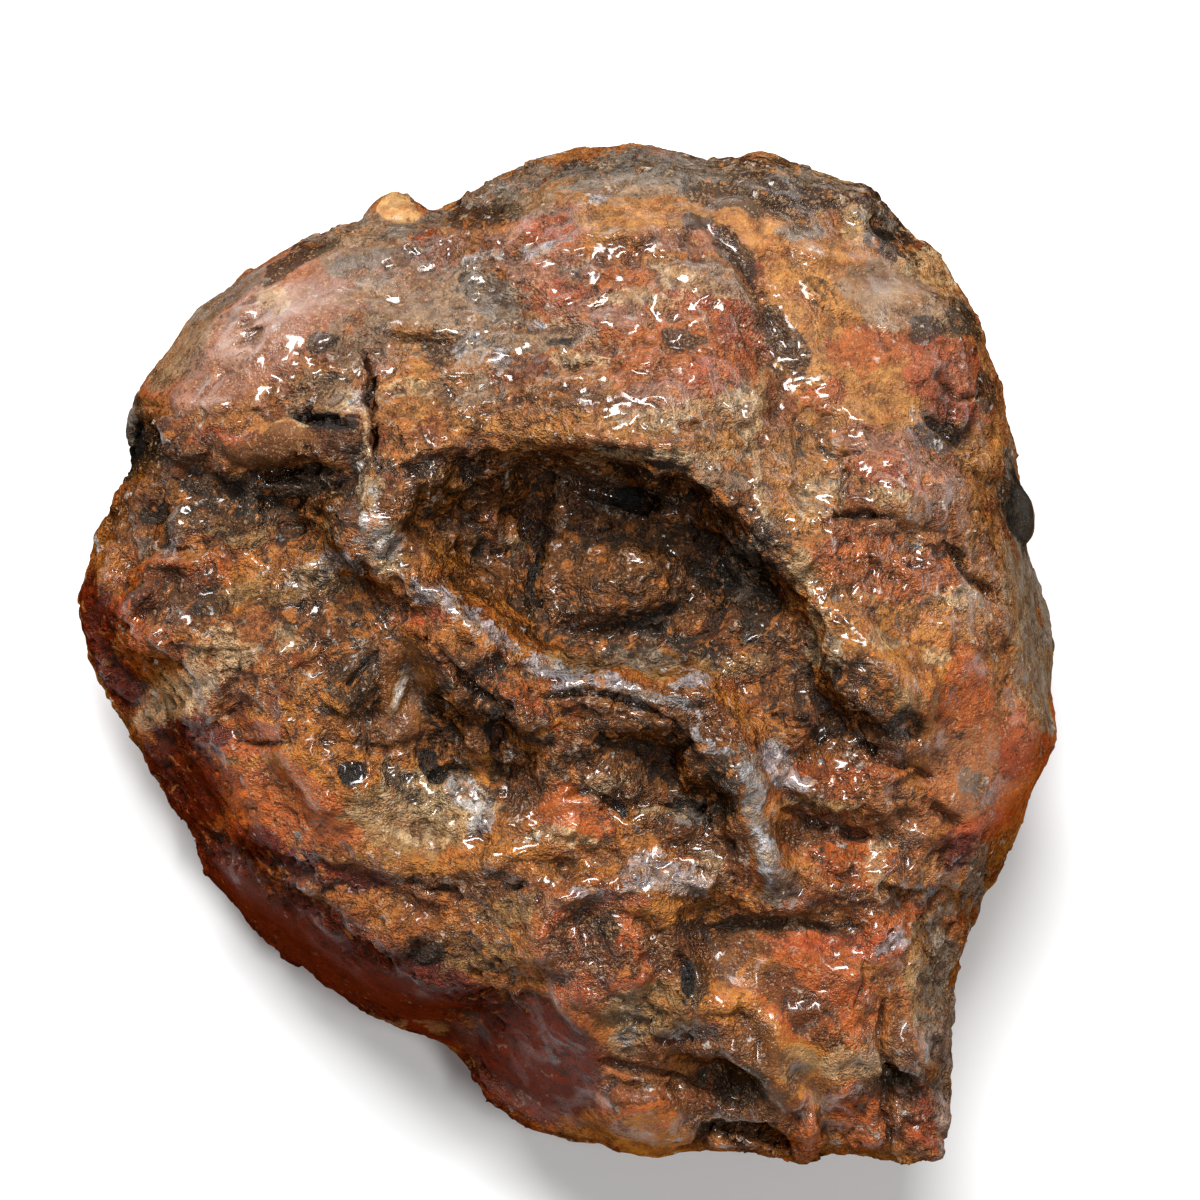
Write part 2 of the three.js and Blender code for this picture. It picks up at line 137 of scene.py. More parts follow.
def scallops(points, size, seed):
    """Shallow hollows of that size that meet in sharp crests: about -1 in a hollow and 1 on a crest."""
    lowest = np.full(len(points), np.inf)
    for cell, away in nearby_seeds(points, size, seed):
        lowest = np.minimum(lowest, np.einsum("ij,ij->i", away, away) + 0.5 * scramble(cell, seed + 3))
    return 2.4 * (lowest - 0.5)


def warp(points, size, amount, seed):
    """The points shifted about, so that what is laid out on them gets uneven outlines."""
    return points + amount * np.stack([noise(points, size, seed + k) for k in range(3)], axis=1)


def ovals(sheet, shapes, edge):
    """A mask that is 1 inside any oval (x, y, radius, radius, turn in degrees) and fades at the edge."""
    mask = np.zeros(len(sheet))
    for x, y, along, across, *turn in shapes:
        angle = math.radians(turn[0] if turn else 0)
        dx, dy = sheet[:, 0] - x, sheet[:, 1] - y
        a = (dx * math.cos(angle) + dy * math.sin(angle)) / along
        b = (dy * math.cos(angle) - dx * math.sin(angle)) / across
        mask = np.maximum(mask, 1 - ramp(np.hypot(a, b), 1 - edge, 1 + edge))
    return mask


def along_chain(sheet, chain):
    """For each place: its distance in mm to a chain of sheet points, which side, and how far along, 0 to 1.

    The side is positive on the right hand of someone who walks the chain, on the sheet as it is seen."""
    points = np.array(chain, float)
    lengths = np.linalg.norm(np.diff(points, axis=0), axis=1)
    starts = np.concatenate([[0], np.cumsum(lengths)])
    nearest = np.full(len(sheet), np.inf)
    side = np.zeros(len(sheet))
    share = np.zeros(len(sheet))
    for a, b, length, start in zip(points[:-1], points[1:], lengths, starts):
        step = (b - a) / length
        rel = sheet - a
        t = np.clip(rel @ step, 0, length)
        distance = np.linalg.norm(rel - t[:, None] * step, axis=1)
        closer = distance < nearest
        cross = step[0] * rel[:, 1] - step[1] * rel[:, 0]
        side = np.where(closer, np.sign(cross), side)
        share = np.where(closer, (start + t) / starts[-1], share)
        nearest = np.where(closer, distance, nearest)
    return nearest / UNITS_PER_MM, side, share


# ---- The stone's vertices while it is worked ----


class Clay:
    """A piece's vertices: places in mm, outward normals, places on the sheet, and which face up."""

    def __init__(self, piece):
        self.piece = piece
        mesh = piece.data
        count = len(mesh.vertices)
        places, normals = np.empty(count * 3), np.empty(count * 3)
        mesh.vertices.foreach_get("co", places)
        mesh.vertices.foreach_get("normal", normals)
        self.at = places.reshape(-1, 3) / MM
        self.out = normals.reshape(-1, 3)
        self.sheet = sheet_of(self.at)
        bent = warp(self.at, size=9, amount=1.0, seed=90)
        self.uneven_sheet = sheet_of(warp(bent, size=3, amount=0.8, seed=94))
        self.top = ramp(self.out[:, 2], -0.05, 0.3) * ramp(self.at[:, 2], *TOP_STARTS)

    def push(self, amount, direction=None):
        """Moves each vertex by its own amount in mm, outwards or along a direction."""
        way = self.out if direction is None else np.asarray(direction, float)
        self.at = self.at + amount[:, None] * way

    def write(self):
        """Gives the piece its new shape, with nothing below the floor."""
        self.at[:, 2] = np.maximum(self.at[:, 2], 0)
        self.piece.data.vertices.foreach_set("co", (self.at * MM).ravel())
        self.piece.data.update()


def nearby(clay, chain, reach):
    """The vertices of the upper side whose sheet place is within reach of the chain's box."""
    points = np.array(chain, float)
    low, high = points.min(axis=0) - reach * UNITS_PER_MM, points.max(axis=0) + reach * UNITS_PER_MM
    inside = np.all((clay.sheet > low) & (clay.sheet < high), axis=1) & (clay.top > 0)
    return np.nonzero(inside)[0]


def press(clay, chosen, rise):
    """Raises the chosen vertices, half along their normals and half straight up."""
    way = clay.out[chosen] + np.array([0, 0, 1.0])
    way /= np.maximum(np.linalg.norm(way, axis=1, keepdims=True), 0.5)
    clay.at[chosen] += (rise * clay.top[chosen])[:, None] * way


def cut_crack(clay, chain, half_width, depth):
    """Cuts a groove along the chain, which tapers to both ends and wanders a little."""
    chosen = nearby(clay, chain, half_width + 1)
    path = 0.5 * (clay.sheet[chosen] + clay.uneven_sheet[chosen])
    distance, _, share = along_chain(path, chain)
    taper = np.minimum(1, 5 * np.minimum(share, 1 - share) + 0.25)
    press(clay, chosen, -depth * taper * np.clip(1 - distance / (half_width * taper), 0, 1) ** 0.8)


def raise_ridge(clay, chain, half_width, rise):
    """Raises a broken ridge along the chain."""
    chosen = nearby(clay, chain, half_width + 1)
    distance, _, share = along_chain(clay.uneven_sheet[chosen], chain)
    taper = np.minimum(1, 6 * np.minimum(share, 1 - share) + 0.4)
    broken = 0.65 + noise(clay.at[chosen], 2.6, 33)
    press(clay, chosen, rise * taper * broken * np.clip(1 - (distance / half_width) ** 2, 0, 1))


def break_ledge(clay, chain, drop, reach=3.5):
    """Drops the ground on the right hand of the chain, sharply at it and fading out over the reach."""
    chosen = nearby(clay, chain, reach + 1)
    distance, side, share = along_chain(clay.uneven_sheet[chosen], chain)
    taper = ramp(share, 0, 0.12) * ramp(share, 1, 0.88)
    low_side = ramp(side * distance, -0.35, 0.35) * (1 - ramp(distance, 0.2 * reach, reach))
    high_side = (side < 0) * (1 - ramp(distance, 0, 0.5 * reach))
    press(clay, chosen, drop * taper * (0.3 * high_side - low_side))


def press_oval(clay, shape, rise):
    """Raises an oval patch with soft edges, or sinks it where the rise is below 0."""
    x, y, along, across, *_ = shape
    reach = 1.4 * max(along, across) / UNITS_PER_MM
    chosen = nearby(clay, [(x, y)], reach)
    press(clay, chosen, rise * ovals(clay.uneven_sheet[chosen], [shape], 0.4))


# ---- Features of the upper face ----

# The lips of the bowl and of the groove: a chain, and how far in mm the wall below is pulled in.
LIPS = [
    ([(372, 484), (420, 466), (462, 456), (510, 466), (545, 450), (600, 450), (650, 462), (700, 484),
      (740, 514), (770, 548), (792, 580), (830, 624), (870, 674)], 1.8),
    ([(140, 438), (190, 456), (240, 466), (300, 474), (345, 470)], 1.6),
]
LIP_REACH = 9  # how far in mm from its lip a wall is still moved

# Each crack: its chain, half its width and its depth in mm.
CRACKS = [
    ([(366, 352), (372, 378), (370, 400), (377, 425), (375, 450), (380, 474)], 0.7, 5.0),  # block joint
    ([(288, 410), (305, 416), (330, 418), (352, 424)], 0.9, 3.0),  # wedge slot
    ([(818, 438), (834, 456), (850, 452), (866, 444)], 0.7, 2.2),
    ([(834, 456), (846, 476), (841, 496), (838, 518), (866, 518), (890, 522)], 0.7, 2.4),
    ([(940, 540), (958, 562), (984, 588), (1004, 604)], 0.8, 2.4),
    ([(900, 564), (930, 570)], 0.5, 1.2),
    ([(700, 222), (735, 247), (760, 290), (776, 330), (796, 356)], 1.6, 1.4),  # charcoal vein
    ([(700, 936), (730, 934), (762, 926), (800, 920), (828, 930), (852, 942)], 0.8, 1.4),  # notch
    ([(886, 1000), (882, 1040), (892, 1075), (888, 1110), (890, 1150)], 0.9, 3.0),
    ([(884, 1076), (902, 1084), (920, 1092)], 1.1, 2.6),
    ([(860, 960), (864, 990), (858, 1010)], 0.5, 1.4),
    ([(880, 880), (892, 888), (908, 898)], 0.9, 2.2),
    ([(860, 740), (880, 762), (905, 768), (940, 776)], 0.8, 2.2),
    ([(928, 800), (946, 814), (962, 826)], 0.9, 2.2),
    ([(780, 806), (800, 818), (826, 826)], 0.8, 1.8),
    ([(838, 828), (852, 834), (874, 832)], 0.9, 2.0),
    ([(230, 735), (258, 746), (288, 740), (284, 720)], 0.5, 1.4),
    ([(540, 700), (570, 694), (612, 698), (640, 708), (682, 728)], 0.9, 2.6),  # under the pale vein
    ([(420, 640), (446, 664), (470, 690), (500, 716)], 0.7, 1.8),
    ([(530, 500), (526, 530), (536, 560), (534, 590), (540, 622)], 0.7, 1.3),
    ([(541, 540), (544, 576), (546, 610)], 0.5, 0.9),
    ([(345, 690), (362, 664), (380, 648)], 0.8, 1.6),
    ([(560, 472), (590, 486), (640, 500), (668, 512)], 1.5, 2.2),
    ([(684, 556), (712, 586), (716, 618), (690, 640)], 1.3, 2.2),
    ([(556, 632), (600, 630), (650, 618), (690, 600)], 0.9, 1.6),
    ([(440, 520), (462, 548), (490, 556)], 0.8, 1.4),
    ([(690, 1140), (720, 1132), (764, 1136), (790, 1158)], 1.4, 4.0),  # bottom slot
    ([(600, 1060), (640, 1074), (680, 1078), (704, 1090)], 0.9, 2.2),
    ([(676, 950), (684, 976), (688, 1000)], 1.3, 2.6),
    ([(126, 402), (150, 404), (162, 410)], 0.6, 1.2),
    ([(924, 416), (948, 430), (960, 442), (992, 446)], 1.1, 1.8),
    ([(944, 384), (962, 398), (984, 396)], 0.7, 1.4),
    ([(560, 360), (580, 372), (600, 362)], 0.7, 1.4),
    ([(380, 336), (404, 340), (446, 342), (460, 338)], 0.7, 1.8),
    ([(250, 470), (290, 474), (330, 468)], 1.0, 2.4),
    ([(560, 800), (590, 790), (618, 806), (626, 824)], 0.6, 1.4),
]

# Each ridge: its chain, half its width and its rise in mm.
RIDGES = [
    # the pale vein
    ([(420, 585), (450, 612), (480, 635), (505, 660), (535, 678), (570, 688), (600, 684)], 2.5, 1.3),
    ([(440, 650), (470, 672), (500, 700), (535, 716)], 1.3, 1.6),
    ([(484, 476), (494, 500), (482, 520), (490, 540), (504, 548)], 1.1, 1.6),  # orange curl
    ([(762, 742), (778, 762), (796, 782), (816, 800)], 1.1, 1.0),
    ([(800, 768), (830, 752), (856, 744), (884, 742)], 0.8, 0.9),
    ([(545, 906), (566, 892), (600, 886), (634, 890), (652, 902)], 1.3, 1.5),  # rosette rim
    ([(560, 940), (556, 970), (566, 1000), (586, 1024)], 1.4, 0.9),
    ([(620, 926), (640, 930), (652, 950), (644, 970), (622, 968)], 1.0, 1.3),
    ([(655, 870), (668, 882), (688, 892)], 1.6, 1.5),
    ([(690, 860), (704, 868), (706, 884)], 1.3, 1.2),
    ([(745, 985), (775, 1040), (795, 1100), (806, 1150)], 3.0, 1.0),
    ([(380, 650), (392, 690), (404, 740)], 3.0, 1.0),
    ([(630, 866), (642, 874), (650, 892)], 1.2, 1.0),
    ([(370, 480), (372, 505), (366, 530), (380, 552), (392, 566)], 1.6, 0.6),
    ([(300, 556), (312, 572), (330, 584)], 1.5, 1.2),
    ([(520, 486), (548, 500), (562, 530), (556, 560)], 1.3, 1.3),
    ([(640, 466), (668, 488), (694, 520), (702, 556)], 1.5, 1.3),
    ([(724, 506), (746, 542), (750, 590), (730, 630)], 1.5, 1.2),
    ([(580, 520), (616, 528), (640, 540)], 1.2, 1.0),
    ([(755, 372), (752, 400), (748, 430), (758, 470), (768, 500), (776, 520)], 1.1, 0.9),  # pale seam
    ([(560, 432), (600, 440), (650, 448), (700, 446), (742, 446)], 1.4, 0.8),
    ([(752, 240), (776, 232), (792, 214)], 1.8, 1.0),
    ([(860, 186), (880, 200), (896, 216), (906, 232)], 1.9, 1.2),
    ([(756, 166), (780, 176), (800, 186)], 1.8, 1.0),
    ([(180, 372), (200, 352), (216, 330), (226, 306)], 1.0, 0.5),
    ([(270, 372), (292, 354), (302, 330)], 1.0, 0.5),
    ([(140, 725), (170, 716), (205, 702), (235, 686)], 1.6, 1.4),
    ([(200, 660), (220, 640), (244, 632)], 1.6, 1.2),
    ([(455, 788), (470, 800), (484, 820)], 1.6, 1.0),
    ([(545, 840), (568, 842), (590, 836)], 1.0, 0.8),
]

# Each ledge: its chain, its drop and, where not the usual one, its reach in mm. The low side is on the
# right hand.
LEDGES = [
    ([(792, 574), (752, 520), (712, 484), (650, 452), (600, 446), (545, 448)], -1.0),
    ([(384, 478), (402, 466), (440, 459), (470, 463), (520, 456), (556, 450)], 1.5, 3.4),
    ([(150, 400), (200, 404), (250, 402), (300, 392), (350, 378)], 1.0, 4.2),
    ([(480, 376), (440, 384), (400, 380)], -0.9),
    ([(820, 300), (860, 320), (900, 330), (950, 350)], 0.6),
    ([(780, 240), (830, 262), (880, 268), (940, 282)], 0.6),
    ([(700, 300), (740, 318), (780, 360), (800, 400)], 0.5),
    ([(840, 420), (880, 430), (930, 450), (980, 470)], 0.7),
    ([(880, 520), (920, 540), (960, 560)], 0.6),
    ([(870, 600), (900, 640), (920, 680), (932, 730)], 0.6),
    ([(940, 640), (980, 650), (1010, 640)], 0.6),
    ([(760, 660), (800, 668), (850, 690), (880, 706)], -0.7, 2.8),
    ([(740, 700), (790, 716), (850, 722), (900, 712)], 1.0),
    ([(790, 818), (830, 812), (890, 800), (940, 806)], 0.5),
    ([(800, 860), (850, 858), (890, 850)], 0.4, 2.8),
    ([(800, 900), (850, 902), (900, 896), (950, 880)], 0.4),
    ([(880, 985), (850, 1010), (800, 1040)], 0.5),
    ([(790, 1110), (776, 1070), (760, 1040), (740, 1015), (700, 1000)], -1.0, 4.9),
    ([(600, 1075), (640, 1090), (700, 1086), (740, 1060)], 1.0, 4.2),
    ([(320, 720), (350, 730), (400, 742), (440, 780)], 0.6),
    ([(200, 830), (260, 850), (320, 864), (380, 872), (440, 880)], 0.9, 4.2),
    ([(300, 900), (340, 885), (390, 885), (430, 905), (470, 930)], 0.7, 4.2),
    ([(480, 850), (520, 860), (560, 858), (620, 840)], 0.7),
    ([(110, 570), (150, 556), (200, 548), (240, 556)], -0.7),
    ([(100, 640), (150, 660), (190, 650)], 0.6),
    ([(160, 470), (200, 488), (240, 500)], 0.7),
    ([(600, 780), (640, 800), (690, 806)], 0.7, 2.8),
    ([(640, 560), (680, 580), (720, 600)], 0.5, 2.8),
    ([(420, 560), (460, 580), (520, 590)], 0.5, 2.8),
    ([(960, 1000), (930, 1040), (920, 1100)], -0.7),
    ([(900, 1140), (930, 1150), (960, 1140)], 0.7),
]

# Pits and knobs: an oval on the sheet and its rise in mm.
KNOBS = [
    ((357, 769, 16, 8, 25), -0.4), ((438, 756, 11, 22), -1.0), ((500, 745, 10, 26, -15), -1.6),
    ((146, 440, 14, 20), -1.8), ((152, 508, 18, 10), -1.6), ((630, 492, 34, 11, 15), -1.4),
    ((620, 770, 20, 16), 1.2), ((570, 812, 30, 22), 1.6), ((700, 846, 34, 14), -2.0),
    ((730, 1085, 44, 18, 30), -2.6), ((780, 915, 60, 16), 1.2), ((425, 955, 24, 13, 10), -1.2),
    ((912, 725, 18, 14), -2.0), ((905, 905, 16, 12), -1.2), ((640, 1120, 40, 24), 1.6),
    ((806, 1130, 12, 32, 5), 2.4), ((930, 1155, 34, 16, 5), 1.6), ((880, 860, 14, 18), 1.2),
    ((980, 455, 16, 14), 1.4), ((740, 216, 24, 14), 1.0), ((770, 190, 22, 14), 1.2),
    ((820, 196, 22, 14), 1.2), ((884, 226, 16, 14), -1.6), ((850, 212, 12, 14), 1.4),
    ((930, 262, 24, 12, 35), 1.2), ((175, 560, 24, 12, -10), 1.4), ((130, 600, 22, 16), 1.2),
    ((150, 640, 26, 14), 1.2), ((270, 440, 38, 16), 1.0), ((250, 330, 60, 34, -35), 0.8),
]

# How far the second hollows are filled, or deepened where below 0: an oval and its rise in mm.
FILLS = [
    ((640, 745, 95, 62, 12), 4.6), ((708, 800, 46, 60), 2.6), ((390, 720, 110, 86, 15), 5.0),
    ((430, 520, 66, 60), 4.0), ((340, 530, 40, 44, 10), 2.4), ((255, 506, 120, 34, 5), 3.2),
    ((840, 690, 90, 60, 30), 4.8), ((600, 585, 70, 50, 5), 3.4), ((690, 560, 80, 80), 2.0),
    ((570, 500, 110, 26, 3), 1.4), ((450, 490, 70, 26), 1.4), ((560, 690, 80, 22, 8), -1.8),
    ((480, 640, 60, 18, 40), -1.6),
]

# Nubs that have grown to the stone: a centre, three radii in mm and a turn in degrees.
NUBS = [
    ((56.6, 17.2, 24.0), (2.3, 3.9, 3.2), 8),
    ((54.2, 21.6, 24.5), (1.9, 2.8, 2.8), 20),
    ((-20.6, 54.2, 26.5), (3.9, 2.1, 2.6), 8),
]

# Where the surface is of one kind, as ovals on the sheet: polished faces, gently chipped ones, knobbly
# crust and gritty hollows.
SMOOTH = [
    (250, 330, 110, 52, -32), (150, 400, 30, 18), (1000, 770, 62, 62), (560, 1060, 62, 66, 35),
    (270, 440, 46, 20), (570, 812, 34, 24), (870, 280, 60, 26, 20), (1035, 600, 26, 150, -8),
    (640, 1120, 44, 26), (730, 980, 40, 26, 20), (740, 225, 46, 26), (397, 207, 34, 14),
    (405, 690, 24, 48, -12), (280, 930, 110, 30, 38), (420, 1010, 100, 24, 25), (790, 1060, 34, 70, -20),
]
CALM = [
    (860, 360, 90, 90), (800, 260, 60, 50), (640, 200, 120, 30), (900, 650, 60, 60), (300, 780, 110, 60),
    (400, 820, 80, 50), (820, 1020, 110, 100), (640, 1110, 80, 50), (960, 720, 70, 110), (760, 820, 40, 90),
    (300, 290, 120, 40, -15), (600, 330, 60, 40), (430, 300, 60, 40),
]
CRUST = [
    (185, 690, 56, 24, -28), (680, 350, 110, 90, 10), (900, 490, 66, 42, 10), (800, 470, 46, 50),
    (600, 940, 80, 60), (560, 300, 60, 40), (980, 600, 40, 50), (440, 350, 60, 30), (320, 390, 50, 18),
    (850, 1060, 50, 34), (560, 230, 60, 40), (800, 190, 80, 34, 15), (660, 870, 60, 26), (900, 860, 34, 40),
]
GRAINY = [
    (690, 520, 110, 60, 35), (480, 500, 90, 40), (740, 600, 50, 60), (600, 570, 160, 90, 10),
    (430, 720, 130, 90, 10), (650, 770, 90, 80), (820, 690, 90, 60, 30), (250, 520, 120, 40),
    (330, 600, 70, 60),
]

# Small level patches under standing water, tilted so that they mirror the key light to the eye.
FILMS = [
    (495, 357, 13, 18, 10), (678, 872, 26, 14, 10), (650, 884, 16, 10, -20), (698, 878, 8, 14),
    (584, 889, 16, 6, -5), (795, 778, 22, 7, 40), (776, 760, 8, 15, -20), (462, 786, 6, 10, 20),
    (476, 802, 5, 9, 35), (486, 822, 9, 4, 10), (566, 671, 16, 8, 10), (384, 538, 8, 15, 10),
    (402, 692, 5, 13), (890, 952, 18, 5, -30), (214, 384, 16, 6, -30), (250, 326, 18, 30, 28),
    (862, 556, 20, 4, 25), (812, 500, 10, 8), (690, 288, 18, 6, 20), (640, 452, 22, 4, 8),
    (950, 600, 14, 5, 70),
]

# Where the water film is thick enough to shine.
WET = [
    (500, 352, 24, 26), (390, 380, 16, 24), (370, 410, 14, 40), (215, 385, 24, 16), (255, 320, 60, 60, 28),
    (380, 535, 34, 30), (310, 570, 26, 20), (440, 600, 40, 12, 30), (490, 640, 46, 14, 42),
    (560, 675, 44, 18), (460, 800, 30, 36), (540, 840, 60, 16), (584, 888, 30, 12), (640, 870, 60, 24),
    (690, 876, 26, 22), (775, 765, 24, 34, -30), (800, 790, 34, 14, 30), (700, 400, 50, 30),
    (640, 415, 50, 16), (690, 285, 60, 30, 20), (640, 300, 60, 24), (860, 560, 60, 30), (900, 490, 60, 36),
    (800, 480, 36, 50), (775, 450, 20, 40), (960, 600, 50, 40), (815, 500, 24, 24), (560, 250, 50, 40),
    (480, 260, 60, 20), (440, 240, 30, 20), (400, 690, 14, 20), (500, 535, 24, 14), (700, 690, 40, 20),
    (640, 690, 30, 30), (885, 950, 34, 12, -30), (570, 370, 26, 20), (840, 590, 40, 30),
    (1010, 490, 24, 40), (880, 235, 30, 30), (620, 800, 70, 24), (830, 750, 60, 14),
]

